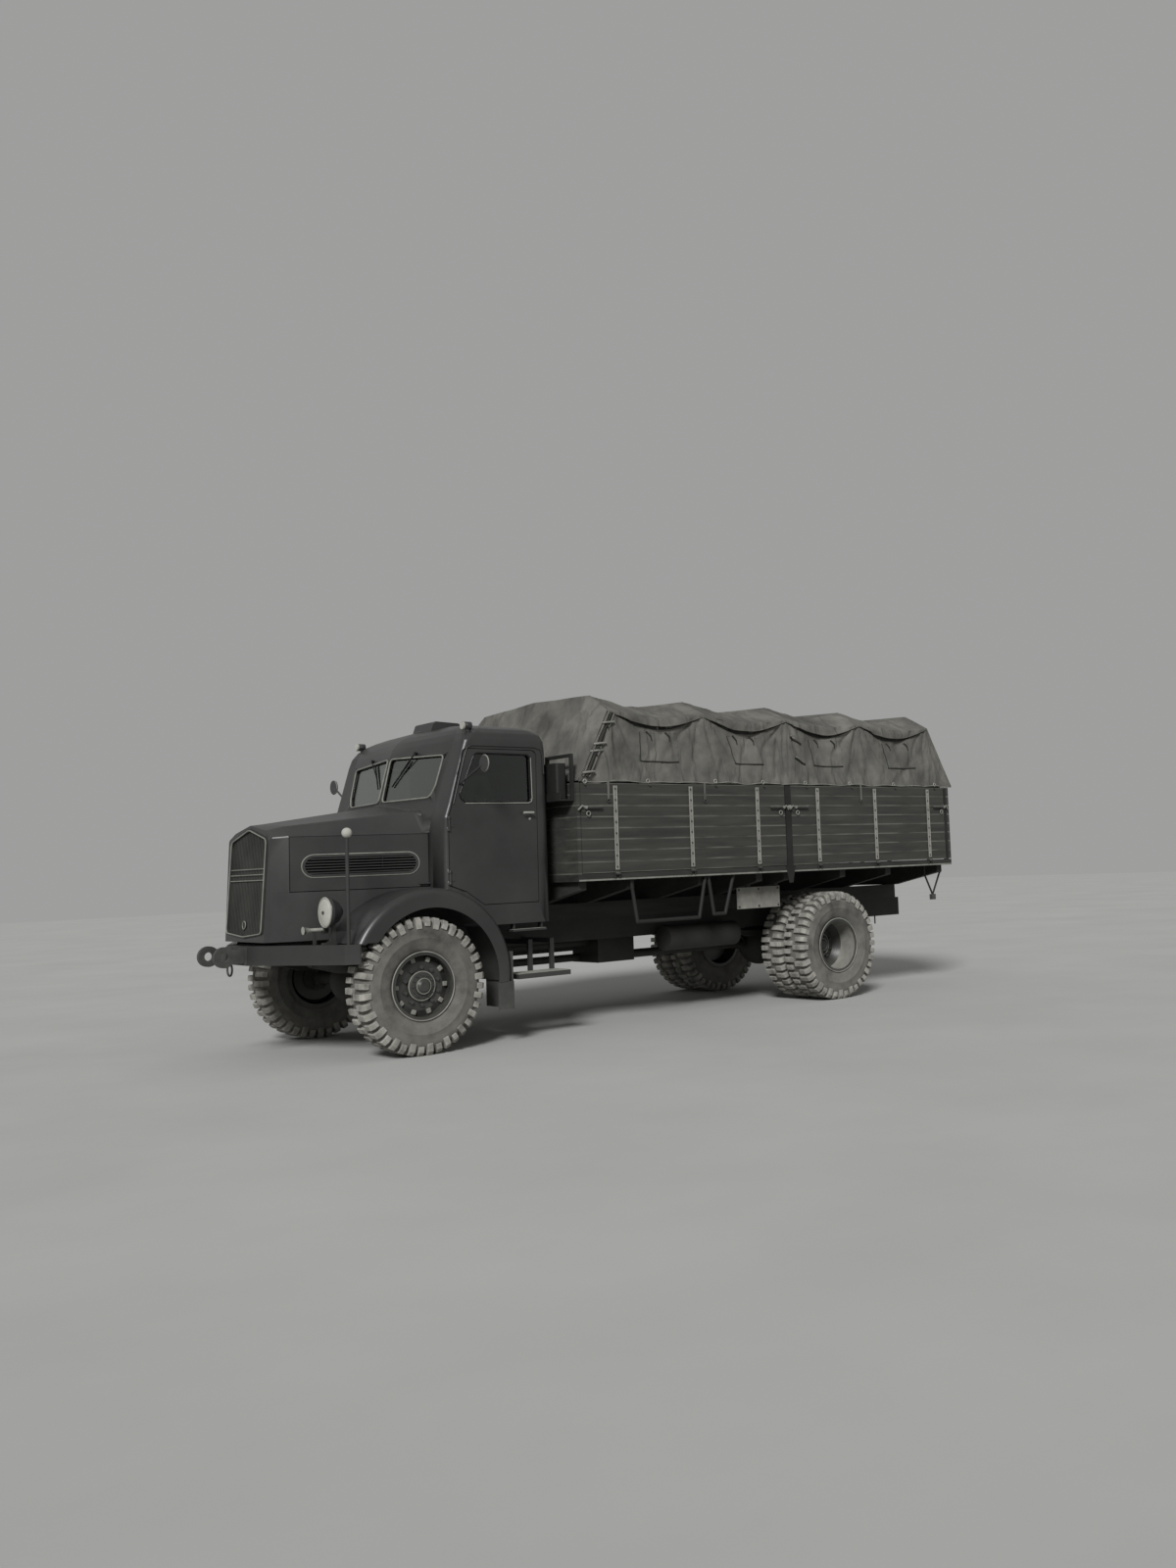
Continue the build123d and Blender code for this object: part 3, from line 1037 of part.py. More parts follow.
def inset_half(points, inset):
    """Half outline from the hem to the ridge moved inwards by inset, normal to each run."""
    moved = []
    normals = []
    for (y0, z0), (y1, z1) in zip(points, points[1:]):
        length = hypot(y1 - y0, z1 - z0)
        normals.append(((z1 - z0) / length, (y0 - y1) / length))
    before = [normals[0]] + normals
    after = normals + [(-normals[-1][0], normals[-1][1])]
    for (y, z), a, b in zip(points, before, after):
        scale = inset / (1 + a[0] * b[0] + a[1] * b[1])
        moved.append((y - (a[0] + b[0]) * scale, z - (a[1] + b[1]) * scale))
    return moved


def tilt_body(inset, hem_drop):
    """Solid inside the tilt's skin: bays sagging between the bows and two sloping ends."""
    margin = BOW_WIDTH / 2 + 8
    sections = [tilt_lip(TILT_FRONT_X + 2 * inset, inset, hem_drop)]
    for x, after in zip(BOW_AT, BOW_AT[1:] + (None,)):
        for end in (x - margin, x + margin):
            sections.append(tilt_outline(end, 0, inset, hem_drop))
        if after:
            sections.append(tilt_outline((x + after) / 2, TILT_SAG, inset, hem_drop))
    sections.append(tilt_lip(TILT_REAR_X - 2 * inset, inset, hem_drop))
    return skinned(sections)


def make_guards():
    """Tube side hoops under the bed, splash plates before the twin tyres, and rear lamp stays."""
    y = GUARD_Y
    pieces = []
    # x and z of each tube's corners
    for run in (((2000, FLOOR_LOW), (2060, 930), (2780, 930), (2870, FLOOR_LOW)),
                ((2905, FLOOR_LOW), (2960, 950), (3100, 950), (3220, FLOOR_LOW))):
        bars = [rod(GUARD_TUBE, (a[0], y, a[1]), (b[0], y, b[1])) for a, b in zip(run, run[1:])]
        knees = [Pos(x, y, z) * Sphere(GUARD_TUBE) for x, z in run[1:-1]]
        tube = fuse(bars + knees) & block(1800, 3400, y - 50, y + 50, 800, FLOOR_LOW)
        pieces.append(tube)
    plate = block(3420, 4000, SPLASH_Y, SPLASH_Y + SPLASH, 965, 1180)
    ear_top = BEARER_TOP + (SPLASH_Y - CROSS_ROOT) * CROSS_TAPER
    ears = [block(x - 30, x + 30, SPLASH_Y, SPLASH_Y + SPLASH, 1170, ear_top)
            for x in CROSS_BEARER_AT[3:5]]
    pieces.append(fuse([plate] + ears))
    tip = (6262, LAMP_STAY_Y, 985)
    stays = []
    for x in (6130, 6400):
        stays.append(rod(10, tip, (x, LAMP_STAY_Y, 1230)))
        stays.append(block(x - 12, x + 12, LAMP_STAY_Y - 12, LAMP_STAY_Y + 12, 1225, FLOOR_LOW))
    pieces.append(fuse(stays))
    save("side_guards", group(pieces + [mirror(piece, about=Plane.XZ) for piece in pieces]))


def tilt_lip(x, inset, hem_drop):
    """Corners of the low outline where an end of the tilt is laced down."""
    low, high = TILT_HEM - hem_drop, TILT_HEM + TILT_LIP - inset
    half = [(TILT_HALF - inset, low), (TILT_HALF - inset, high), (TILT_SHOULDER_Y, high), (0, high)]
    other = [(-y, z) for y, z in reversed(half[:-1])]
    return [(x, y, z) for y, z in half + other]


def make_roof_fittings():
    """Vent hood and two small lamps on the cab roof."""
    vent = plate_xz(rounded([(560, ROOF_TOP - 60), (600, ROOF_TOP + 50), (850, ROOF_TOP + 40),
                             (880, ROOF_TOP - 60)], [0, 30, 25, 0]), -270, 70)
    lamps = []
    for side in (1, -1):
        y = side * ROOF_LAMP_Y
        lamps.append(rod(14, (520, y, 2500), (520, y, ROOF_LAMP_Z)))
        lamps.append(rod(34, (470, y, ROOF_LAMP_Z), (545, y, ROOF_LAMP_Z)))
    save("roof_fittings", fuse([vent] + lamps) - cab_solid(-SEAT_GAP))


def tilt_outline(x, drop, inset, hem_drop):
    """Corners of the tilt's front-view outline at X, with its roof lowered and its skin inset."""
    half = [(TILT_HALF, TILT_HEM), (EAVE_Y, EAVE_Z - drop / 2),
            (TILT_SHOULDER_Y, TILT_SIDE_TOP - drop), (0, TILT_TOP - drop)]
    half = inset_half(half, inset)
    half[0] = (half[0][0], TILT_HEM - hem_drop)
    other = [(-y, z) for y, z in reversed(half[:-1])]
    return [(x, y, z) for y, z in half + other]


def skinned(sections):
    """Solid between outlines that each have the same number of corners."""
    count = len(sections[0])
    faces = [Face(Wire.make_polygon(sections[0])), Face(Wire.make_polygon(sections[-1]))]
    for a, b in zip(sections, sections[1:]):
        for i in range(count):
            j = (i + 1) % count
            faces.append(Face(Wire.make_polygon([a[i], a[j], b[j]])))
            faces.append(Face(Wire.make_polygon([a[i], b[j], b[i]])))
    return Solid(Shell(faces))


make_wheels()
make_axles()
make_springs()
make_frame()
make_bumper()
make_couplings()
make_bonnet()
make_wings()
make_cab()
make_cab_inside()
make_engine()
make_bed()
make_rack()
make_links()
make_tilt()
make_lamps()
make_steps()
make_tanks()
make_guards()
make_roof_fittings()
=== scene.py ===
# %% [markdown]
# # A canvas-topped military cargo truck
#
# The truck's frame comes from CAD: every rigid part is there at its true size. This scene gives it the
# looks that a camera sees: cleated tyres, a wrinkled canvas tilt, plank lines, bolts, trim and soft studio
# light. The frame is loaded first.

# %% Load the frame
import math

import bpy
from mathutils import Matrix, Vector, noise
from mathutils.bvhtree import BVHTree


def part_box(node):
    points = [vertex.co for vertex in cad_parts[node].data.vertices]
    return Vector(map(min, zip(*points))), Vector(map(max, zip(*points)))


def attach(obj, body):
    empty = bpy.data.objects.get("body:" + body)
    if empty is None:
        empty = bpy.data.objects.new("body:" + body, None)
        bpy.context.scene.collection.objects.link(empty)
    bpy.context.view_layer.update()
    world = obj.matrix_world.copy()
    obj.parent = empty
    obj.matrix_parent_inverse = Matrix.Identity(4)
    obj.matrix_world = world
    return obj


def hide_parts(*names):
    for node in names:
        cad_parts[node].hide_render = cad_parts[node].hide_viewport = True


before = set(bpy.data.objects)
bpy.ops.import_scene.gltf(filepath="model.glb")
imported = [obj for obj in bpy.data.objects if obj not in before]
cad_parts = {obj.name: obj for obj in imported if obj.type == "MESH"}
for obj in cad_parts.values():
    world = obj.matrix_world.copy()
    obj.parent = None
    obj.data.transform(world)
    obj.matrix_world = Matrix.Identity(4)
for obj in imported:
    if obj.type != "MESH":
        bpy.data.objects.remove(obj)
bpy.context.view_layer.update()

# %% [markdown]
# ## Main sizes
#
# The frame is in metres, with +X to the rear, +Y to the truck's right side and +Z up. A workshop drawing
# gives places in millimetres from the front axle, which is easier to read and to check on the real truck.
# So pieces are placed that way here, and one function turns such a place into the frame's metres.

# %% Sizes shared by several pieces
FRONT_AXLE = -2.7        # where the front axle is along X
WHEELBASE = 4.6
TYRE_RADIUS = 0.545
FRONT_TRACK = 0.985      # half track, front
REAR_TRACK = 0.925       # half track to the middle of the twins
TWIN_STEP = 0.165        # each twin from that middle
BOARD_LOW = 1.378        # foot of the hinged boards
BOARD_PITCH = 0.0984     # height of one plank


def at(x, y, z):
    """Point given in millimetres from the front axle, as a vector of the frame in metres."""
    return Vector((x / 1000 + FRONT_AXLE, y / 1000, z / 1000))


def angles(count):
    """Equal steps round a full turn, in radians."""
    return [2 * math.pi * i / count for i in range(count)]


print("rear axle at", [round(v, 3) for v in at(1000 * WHEELBASE, 0, 1000 * TYRE_RADIUS)])

# %% [markdown]
# ## Camera
#
# The picture is taken from a little beyond the front left corner, with the lens at chest height. Blender's
# camera could be turned by Euler angles, but three axes built from yaw, pitch and roll are easier to
# follow. The lens is shifted sideways because the truck sits left of the picture's optical centre.

# %% Camera in the photographer's place
CAMERA_AT = (-7.728, -10.579, 1.403)
YAW, PITCH, ROLL = math.radians(42.01), math.radians(4.24), math.radians(-2.31)

forward = Vector((math.sin(YAW) * math.cos(PITCH), math.cos(YAW) * math.cos(PITCH), math.sin(PITCH)))
level_right = Vector((math.cos(YAW), -math.sin(YAW), 0))
level_up = level_right.cross(forward)
right = level_right * math.cos(ROLL) + level_up * math.sin(ROLL)
up = level_up * math.cos(ROLL) - level_right * math.sin(ROLL)

bpy.ops.object.camera_add(location=CAMERA_AT)
camera = bpy.context.object
camera.rotation_mode = "QUATERNION"
camera.rotation_quaternion = Matrix((right, up, -forward)).transposed().to_quaternion()
camera.data.sensor_width = 36
camera.data.lens = 29.94
camera.data.shift_x = -0.0998
camera.data.shift_y = -0.0105
camera.data.clip_end = 200
bpy.context.scene.camera = camera
print("camera looks along", [round(v, 3) for v in forward])

# %% [markdown]
# ## Colours and nodes
#
# A colour picked from a screen is an sRGB code, but shaders work with linear light, so one function turns
# the code into linear numbers. Shader nodes could be wired by hand each time. One function that adds a
# node with its settings and links keeps each material short. The photograph is black and white, so the
# finishes are near-neutral greys of the right lightness.

# %% Colour and node helpers
MIX_FACTOR, MIX_A, MIX_B, MIX_COLOR = 0, 6, 7, 2     # sockets of a Mix node that mixes colours


def linear(code):
    """Screen colour such as 3a3b38 as linear red, green, blue and a full alpha."""
    channels = [int(code[i:i + 2], 16) / 255 for i in (0, 2, 4)]
    return tuple(c / 12.92 if c <= 0.04045 else ((c + 0.055) / 1.055) ** 2.4 for c in channels) + (1.0,)


def add_node(material, kind, inputs=None, **settings):
    """New shader node with its settings, its inputs given as constants or as another node's output."""
    node = material.node_tree.nodes.new(kind)
    for name, value in settings.items():
        setattr(node, name, value)
    for name, value in (inputs or {}).items():
        socket = node.inputs[name]
        if isinstance(value, bpy.types.NodeSocket):
            material.node_tree.links.new(value, socket)
        else:
            socket.default_value = value
    return node


def per_metre(size):
    """Scale of a Noise texture whose blotches are about so many millimetres across."""
    return 1000 / size


print("mid grey in linear light", [round(v, 3) for v in linear("808080")[:3]])

# %% [markdown]
# ## Dust
#
# Road dust lies thickest near the ground and thins out upwards. It could be painted on by hand. A height
# taken from the object's own coordinates does it for every piece at once, and the paint's own blotches
# break its edge up so that no line shows.

# %% Dust that fades with height
def dusted(material, place, broad, color, dust, top):
    """Colour with dust over it: none at the height top, in metres, and most of it at the ground."""
    split = add_node(material, "ShaderNodeSeparateXYZ", {"Vector": place})
    height = add_node(material, "ShaderNodeMapRange", {"Value": split.outputs["Z"], "From Min": top,
                                                       "From Max": 0.0}).outputs["Result"]
    patch = add_node(material, "ShaderNodeMath", {0: height, 1: broad}, operation="MULTIPLY")
    strength = add_node(material, "ShaderNodeMath", {0: patch.outputs[0], 1: 1.5}, operation="MULTIPLY",
                        use_clamp=True)
    return add_node(material, "ShaderNodeMix", {MIX_FACTOR: strength.outputs[0], MIX_A: color,
                                                MIX_B: linear(dust)}, data_type="RGBA").outputs[MIX_COLOR]


print("dust helper ready")

# %% [markdown]
# ## Plank joints
#
# The bed's sides are eight boards high, and the edges along each joint catch the light. That light is
# painted into the colour as a pale line, a painted highlight. A Ping-pong node folds the height into the
# distance from the nearest joint, and noise makes the line come and go along the board.

# %% Painted highlight lines at the plank joints
JOINT_EDGE = (0.007, 0.005)      # a joint's line fades out from 5 to 7 mm away from it
JOINT_HIGHLIGHT = (0.06, 0.42)        # least and most of the line's strength
HIGHLIGHT_PATCH_LENGTH = 400                # millimetres along the board from one patch of painted highlight to the next


def plank_highlights(material, place, color, low, pitch, highlight_color):
    """Colour with a pale line of painted highlight at each joint: low is the first one's height and pitch
    their spacing.
    """
    split = add_node(material, "ShaderNodeSeparateXYZ", {"Vector": place})
    level = add_node(material, "ShaderNodeMath", {0: split.outputs["Z"], 1: low}, operation="SUBTRACT")
    away = add_node(material, "ShaderNodeMath", {0: level.outputs[0], 1: pitch / 2}, operation="PINGPONG")
    line = add_node(material, "ShaderNodeMapRange", {"Value": away.outputs[0], "From Min": JOINT_EDGE[0],
                                                     "From Max": JOINT_EDGE[1]}).outputs["Result"]
    highlight_patches = add_node(material, "ShaderNodeTexNoise", {"Vector": place, "Scale": per_metre(HIGHLIGHT_PATCH_LENGTH)})
    highlight_patches = add_node(material, "ShaderNodeMapRange", {
        "Value": highlight_patches.outputs["Fac"], "From Min": 0.35, "From Max": 0.6, "To Min": JOINT_HIGHLIGHT[0],
        "To Max": JOINT_HIGHLIGHT[1]}).outputs["Result"]
    strength = add_node(material, "ShaderNodeMath", {0: line, 1: highlight_patches}, operation="MULTIPLY").outputs[0]
    # Painted highlight: near a joint the colour is mixed towards the pale line colour.
    mixed = add_node(material, "ShaderNodeMix", {MIX_FACTOR: strength, MIX_A: color,
                                                 MIX_B: linear(highlight_color)}, data_type="RGBA")
    return mixed.outputs[MIX_COLOR]


print("joint lines every", round(1000 * BOARD_PITCH, 1), "mm")

# %% [markdown]
# ## Creases in cloth
#
# Stiff canvas that has been rolled up keeps soft creases. The large folds are real geometry, made further
# down. The small ones are too many for that, so they are drawn as bump with a little painted shade in them:
# the colour is darkened along each crease. The crease runs where smooth noise passes its middle value, and
# the noise is turned and drawn out so that the creases slant down the wall.

# %% Soft creases for canvas
CREASE_SIZE = 417                # millimetres between creases
CREASE_WIDTH = 0.075             # how far from its middle value the noise still counts as a crease
CREASE_SHADE = 0.4               # share of the dark tone in a crease


def creased(material, place, color, dark, relief, depth):
    """Relief with soft creases, and colour darkened along them as painted shade."""
    turned = add_node(material, "ShaderNodeMapping", {"Vector": place, "Rotation": (0.0, 0.45, 0.0),
                                                      "Scale": (1.5, 1.0, 0.55)}).outputs["Vector"]
    folds = add_node(material, "ShaderNodeTexNoise", {
        "Vector": turned, "Scale": per_metre(CREASE_SIZE), "Detail": 3.5, "Roughness": 0.5,
        "Distortion": 0.25}).outputs["Fac"]
    middle = add_node(material, "ShaderNodeMath", {0: folds, 1: 0.5}, operation="SUBTRACT")
    crest = add_node(material, "ShaderNodeMath", {0: middle.outputs[0]}, operation="ABSOLUTE")
    edge = add_node(material, "ShaderNodeMapRange", {"Value": crest.outputs[0], "From Max": CREASE_WIDTH},
                    interpolation_type="SMOOTHSTEP").outputs["Result"]
    relief = add_node(material, "ShaderNodeBump", {"Height": edge, "Strength": depth, "Distance": 0.02,
                                                   "Normal": relief.outputs["Normal"]})
    # Painted shade: the colour goes towards the dark tone along each crease.
    shade = add_node(material, "ShaderNodeMapRange", {"Value": edge, "To Min": CREASE_SHADE,
                                                      "To Max": 0.0}).outputs["Result"]
    color = add_node(material, "ShaderNodeMix", {MIX_FACTOR: shade, MIX_A: color, MIX_B: linear(dark)},
                     data_type="RGBA").outputs[MIX_COLOR]
    return color, relief


print("creases about", CREASE_SIZE, "mm apart")

# %% [markdown]
# ## Weave
#
# Cotton duck is a plain weave: threads cross over and under each other. Two sets of wavy bands, one for
# each direction, add up to such a relief. They are slightly distorted, because spun threads are never
# straight.

# %% Relief of crossing threads
WAVE_TURN = 1000 * 2 * math.pi / 20      # a Wave texture of scale 1 repeats every 314 mm


def weave(material, place, thread):
    """Height of crossing threads, so many millimetres apart."""
    bands = {"Vector": place, "Scale": WAVE_TURN / thread, "Distortion": 0.4}
    across = add_node(material, "ShaderNodeTexWave", bands, bands_direction="X").outputs["Fac"]
    along = add_node(material, "ShaderNodeTexWave", bands, bands_direction="Z").outputs["Fac"]
    return add_node(material, "ShaderNodeMath", {0: across, 1: along}, operation="ADD").outputs[0]


print("a Wave texture of scale 1 repeats every", round(WAVE_TURN), "mm")

# %% [markdown]
# ## One worn surface
#
# No paint, rubber or cloth on a used truck has one flat tone. Every finish here starts from the same
# recipe: broad blotches mix a dark and a light tone and vary the roughness, a fine grain or a weave gives
# relief, and dust, a painted highlight along the plank joints or creases with painted shade in them come on
# top where the real thing has them. Blotches and grain are given in millimetres as they are on the truck.
# The index of refraction stays at 1.5, which suits paint, rubber, wood and cloth alike, and the specular
# level is matched to how much each one shines in the photograph.

# %% Recipe for a worn surface
BLOTCH_EDGE = (0.32, 0.68)               # noise values of the darkest and the lightest tone
SMOOTHER, ROUGHER = 0.08, 0.1            # how far the roughness goes to both sides of its middle
# Spray mist and grit are under a millimetre wide, too fine to show from this far, so they are drawn
# coarser.
GRAIN = 16.7


def surface(name, dark, light, blotch, rough, stretch=(1, 1, 1), bump=0.05, grain=GRAIN, gloss=0.3,
            dust=None, dust_top=0.0, thread=0.0, joints=None, creases=0.0):
    """Worn surface in two tones. blotch, grain and thread are sizes in millimetres, dust_top is a height in
    metres, and joints holds the first joint's height, the joints' pitch and the colour of the painted
    highlight at them."""
    material = bpy.data.materials.new(name)
    material.use_nodes = True
    material.node_tree.nodes.clear()
    place = add_node(material, "ShaderNodeTexCoord").outputs["Object"]
    mapped = add_node(material, "ShaderNodeMapping", {"Vector": place, "Scale": stretch}).outputs["Vector"]
    broad = add_node(material, "ShaderNodeTexNoise", {"Vector": mapped, "Scale": per_metre(blotch),
                                                      "Detail": 6.0, "Roughness": 0.62}).outputs["Fac"]
    share = add_node(material, "ShaderNodeMapRange", {"Value": broad, "From Min": BLOTCH_EDGE[0],
                                                      "From Max": BLOTCH_EDGE[1]}).outputs["Result"]
    color = add_node(material, "ShaderNodeMix", {MIX_FACTOR: share, MIX_A: linear(dark),
                                                 MIX_B: linear(light)}, data_type="RGBA").outputs[MIX_COLOR]
    if dust:
        color = dusted(material, place, broad, color, dust, dust_top)
    if joints:
        color = plank_highlights(material, place, color, *joints)
    if thread:
        height = weave(material, place, thread)
    else:
        height = add_node(material, "ShaderNodeTexNoise", {"Vector": mapped, "Scale": per_metre(grain),
                                                           "Detail": 3.0}).outputs["Fac"]
    relief = add_node(material, "ShaderNodeBump", {"Height": height, "Strength": bump, "Distance": 0.01})
    if creases:
        color, relief = creased(material, place, color, dark, relief, creases)
    roughness = add_node(material, "ShaderNodeMapRange", {"Value": broad, "To Min": rough - SMOOTHER,
                                                          "To Max": rough + ROUGHER}).outputs["Result"]
    shader = add_node(material, "ShaderNodeBsdfPrincipled", {
        "Base Color": color, "Roughness": roughness, "Specular IOR Level": gloss,
        "Normal": relief.outputs["Normal"]})
    add_node(material, "ShaderNodeOutputMaterial", {"Surface": shader.outputs["BSDF"]})
    return material


print("surface recipe ready")

# %% [markdown]
# ## Paints
#
# The cab and bonnet are pressed steel, sprayed with a dull military enamel. The frame below is brushed
# with a black lacquer, and the wheels are enamelled too. Each could be one flat grey. Two near tones in
# broad blotches, a soft gloss and dust from below make them read as large sheets that have stood
# outdoors.

# %% Enamels and lacquer
# Semi-matt enamel sprayed on pressed steel: an even dark skin with soft highlights. Its sun-bleached
# patches are half a metre across, and dust has risen to the sills.
BODY = surface("body_enamel", "292a29", "353634", 556, rough=0.36, bump=0.02, gloss=0.5, dust="4d4c48",
               dust_top=0.8)
# The same enamel over the pressed ribs of the grille, a shade paler where stones have chipped it, in
# patches of a hand's width.
GRILLE = surface("grille_enamel", "2d2d2b", "3d3d3a", 250, rough=0.5)
# Black lacquer brushed on rolled steel: nearly no gloss, so the underside stays deep and calm. The blotches
# follow the brush's reach, and dust lies on it up to a metre.
CHASSIS = surface("chassis_lacquer", "1c1c1b", "282827", 250, rough=0.62, dust="45443f", dust_top=1.0)
# Enamel on pressed wheel discs: darker and smoother than the body, with dust caught in patches as large as
# a hub, so that nuts and rings stand out on it.
WHEEL = surface("wheel_enamel", "1d1d1c", "2b2b29", 143, rough=0.36, gloss=0.5, dust="504f4b", dust_top=1.0)
print("paints", [material.name for material in (BODY, GRILLE, CHASSIS, WHEEL)])

# %% [markdown]
# ## Bare and rubbed metal
#
# Mouldings, straps and hooks have lost their paint or never had any, and the pale rings on rim edges are
# painted highlight. Polished metal would flash in the studio. On the truck they are dull with weather,
# which is closer to a pale matt coat than to a mirror, so they stay non-metallic and take their look from
# tone and roughness.

# %% Metals dulled by weather
# Painted brass and steel mouldings, rubbed bright: thin pale outlines round panes and treads. The same pale
# finish is painted highlight on the raised strap edges and painted reflection in the mirror glass.
TRIM = surface("rubbed_moulding_and_painted_highlight", "86867f", "a09f98", 125, rough=0.5, bump=0.02)
# Pale ring finish with a soft shine: painted highlight on the rounded edges of rims and hubs, and the
# finish of the rim clamps.
RIM_EDGE = surface("rim_highlight_and_clamps", "6f6e69", "8d8c86", 83.3, rough=0.45, bump=0.02, gloss=0.5)
# Forged hooks, bolts and pins, black from the forge and greasy: darker than straps, with small patches.
COUPLING = surface("forged_steel", "333332", "4b4b48", 111, rough=0.5)
# Galvanised strap, weathered to a pale grey: its spangle is finger-sized, drawn in patches of 71 mm because
# smaller ones don't show from this far.
STRAP_STEEL = surface("galvanised_strap", "6e6e69", "8b8a84", 71.4, rough=0.55)
# Sheet steel under dried road dust: flat and pale, with no gloss left.
DUSTY = surface("dusty_steel", "6d6c66", "898881", 125, rough=0.8)
print("metals", [material.name for material in (TRIM, RIM_EDGE, COUPLING, STRAP_STEEL, DUSTY)])

# %% [markdown]
# ## Rubber and plastic
#
# Vulcanised rubber is black when new, and grey with dust on a cross-country tyre. The tread blocks carry
# more of it than the walls. Window seals and mud flaps are rubber too, and the steering wheel is moulded
# plastic.

# %% Rubbers and plastic
# Moulded tyre rubber: no gloss, dust to above the wheel, and a skin of scuffs. They are drawn 11 mm wide,
# as the real ones of a millimetre don't show.
RUBBER = surface("tyre_rubber", "383734", "64635e", 143, rough=0.85, bump=0.12, grain=11.1, dust="75736d",
                 dust_top=1.3)
# The same rubber where it meets the ground: scuffed pale and a little rougher, so each block stands out.
TREAD = surface("scuffed_tread", "6a6963", "a19f98", 111, rough=0.88, bump=0.15, grain=14.3)
# Rubber sheet with a cloth core, hung as a mud flap: plain, dull and slightly cloudy.
FLAP = surface("flap_rubber", "3c3c3a", "4e4d4a", 200, rough=0.8)
# Extruded window rubber, gone grey in the sun: a soft pale line round each pane.
SEAL = surface("seal_rubber", "6c6c67", "84837d", 83.3, rough=0.6, bump=0.02)
# Moulded black plastic of the steering wheel, polished by hands: the only part with a clear shine inside.
BLACK = surface("moulded_plastic", "101010", "1a1a1a", 167, rough=0.3)
# Pressed tin lamp cover with pale matt paint: bright and even, to be seen from far off. The roof lamps'
# lenses take it too, as painted highlight.
COVER = surface("lamp_cover_paint_and_lens_highlight", "9d9c95", "b5b4ac", 143, rough=0.7)
print("rubbers and plastic", [material.name for material in (RUBBER, TREAD, FLAP, SEAL, BLACK, COVER)])

# %% [markdown]
# ## Wood, canvas and leathercloth
#
# The bed is softwood plank under thin paint, so its grain runs along the boards and the joints show. The
# tilt is cotton duck, proofed and faded, with a plain weave. The bench is covered in black leathercloth.

# %% Wood and cloth
# Pine planks under thin paint: blotches of 250 mm are drawn out three times along the board, as grain is,
# and a pale line of painted highlight runs along each joint.
WOOD = surface("painted_pine", "30302e", "41413d", 250, rough=0.62, stretch=(0.3, 1, 3), bump=0.1,
               grain=41.7, joints=(BOARD_LOW, BOARD_PITCH, "8b8a83"))
# Rough pine bearers under the bed, painted darker than the boards as shade under the bed, with the same
# long grain and no joint highlights.
BEARER = surface("bearer_pine_painted_shade", "262624", "363633", 200, rough=0.7, stretch=(0.4, 1, 3), bump=0.1)
# Proofed cotton duck, woven from thick threads 1.3 mm apart: matt, mottled where it dried unevenly, with
# soft creases from being rolled up that are darkened as painted shade.
CANVAS = surface("cotton_duck", "4d4c49", "74736d", 385, rough=0.88, bump=0.12, gloss=0.15, thread=1.309,
                 creases=0.4)
# The same cloth in stitched edges and straps, and as painted shade behind the valance, in the corner slits
# and inside the boards: nearly black, which draws the seams as lines.
CANVAS_DARK = surface("duck_seams_and_painted_shade", "2a2a28", "3d3c39", 167, rough=0.9, bump=0.1, gloss=0.1)
# Leathercloth, embossed and calendered: a slight sheen over a pebble grain, with sitting marks in it.
SEAT = surface("leathercloth", "211f1d", "302e2b", 167, rough=0.5, bump=0.1)
print("wood and cloth", [material.name for material in (WOOD, BEARER, CANVAS, CANVAS_DARK, SEAT)])

# %% [markdown]
# ## Glass
#
# The panes are flat sheet glass. A glass shader bends light and needs many bounces to show a dark cab
# behind. A thin pane hardly bends anything, so a clear surface with a mirror over it does the same at
# less cost. Layer Weight makes the mirror stronger where the pane is seen at a slant.

# %% Window glass
# Drawn sheet glass: dark from the cab behind it, with a pale streak of sky where it is seen at a slant.
def glass(name, color):
    """Clear pane that still mirrors a little of the room."""
    material = bpy.data.materials.new(name)
    material.use_nodes = True
    material.node_tree.nodes.clear()
    clear = add_node(material, "ShaderNodeBsdfTransparent", {"Color": linear(color)})
    mirror = add_node(material, "ShaderNodeBsdfGlossy", {"Color": linear("d8dcd8"), "Roughness": 0.04})
    slant = add_node(material, "ShaderNodeLayerWeight", {"Blend": 0.3})
    mixed = add_node(material, "ShaderNodeMixShader", {0: slant.outputs["Facing"], 1: clear.outputs[0],
                                                       2: mirror.outputs[0]})
    add_node(material, "ShaderNodeOutputMaterial", {"Surface": mixed.outputs[0]})
    return material


GLASS = glass("sheet_glass", "aeb4b0")
print("glass", GLASS.name)

# %% [markdown]
# ## Finishes for the CAD parts
#
# A CAD part whose shape is right stays as it is and only gets a finish. One table says which finish goes on
# which part, as a paint shop's list would, and shows at a glance what belongs together.

# %% Paint the CAD parts
FINISH = {
    BODY: "bonnet_side_left bonnet_side_right bonnet_top bumper cab_shell door_left door_right nose_shell "
          "wings cab_steps roof_fittings marker_poles headlamps dashboard bench_base",
    GRILLE: "grille",
    CHASSIS: "chassis_frame front_axle rear_axle knuckle_left knuckle_right springs_front springs_rear "
             "drive_shafts transfer_case engine_block bed_stakes side_guards tilt_bows headboard_rack "
             "fuel_tank air_tank",
    COUPLING: "tow_eyes_front tow_coupling_rear hanging_links",
    WHEEL: "wheel_front_left wheel_front_right wheels_rear_left wheels_rear_right",
    RUBBER: "tyre_front_left tyre_front_right tyres_rear_left tyres_rear_right",
    FLAP: "mud_flaps",
    BEARER: "bed_floor bed_bearers",
    WOOD: "headboard dropside_front_left dropside_front_right dropside_rear_left "
          "dropside_rear_right tailgate",
    CANVAS: "canvas_tilt",
    GLASS: "cab_glass door_glass_left door_glass_right",
    SEAT: "bench_cushions",
    BLACK: "steering_wheel",
}
painted = 0
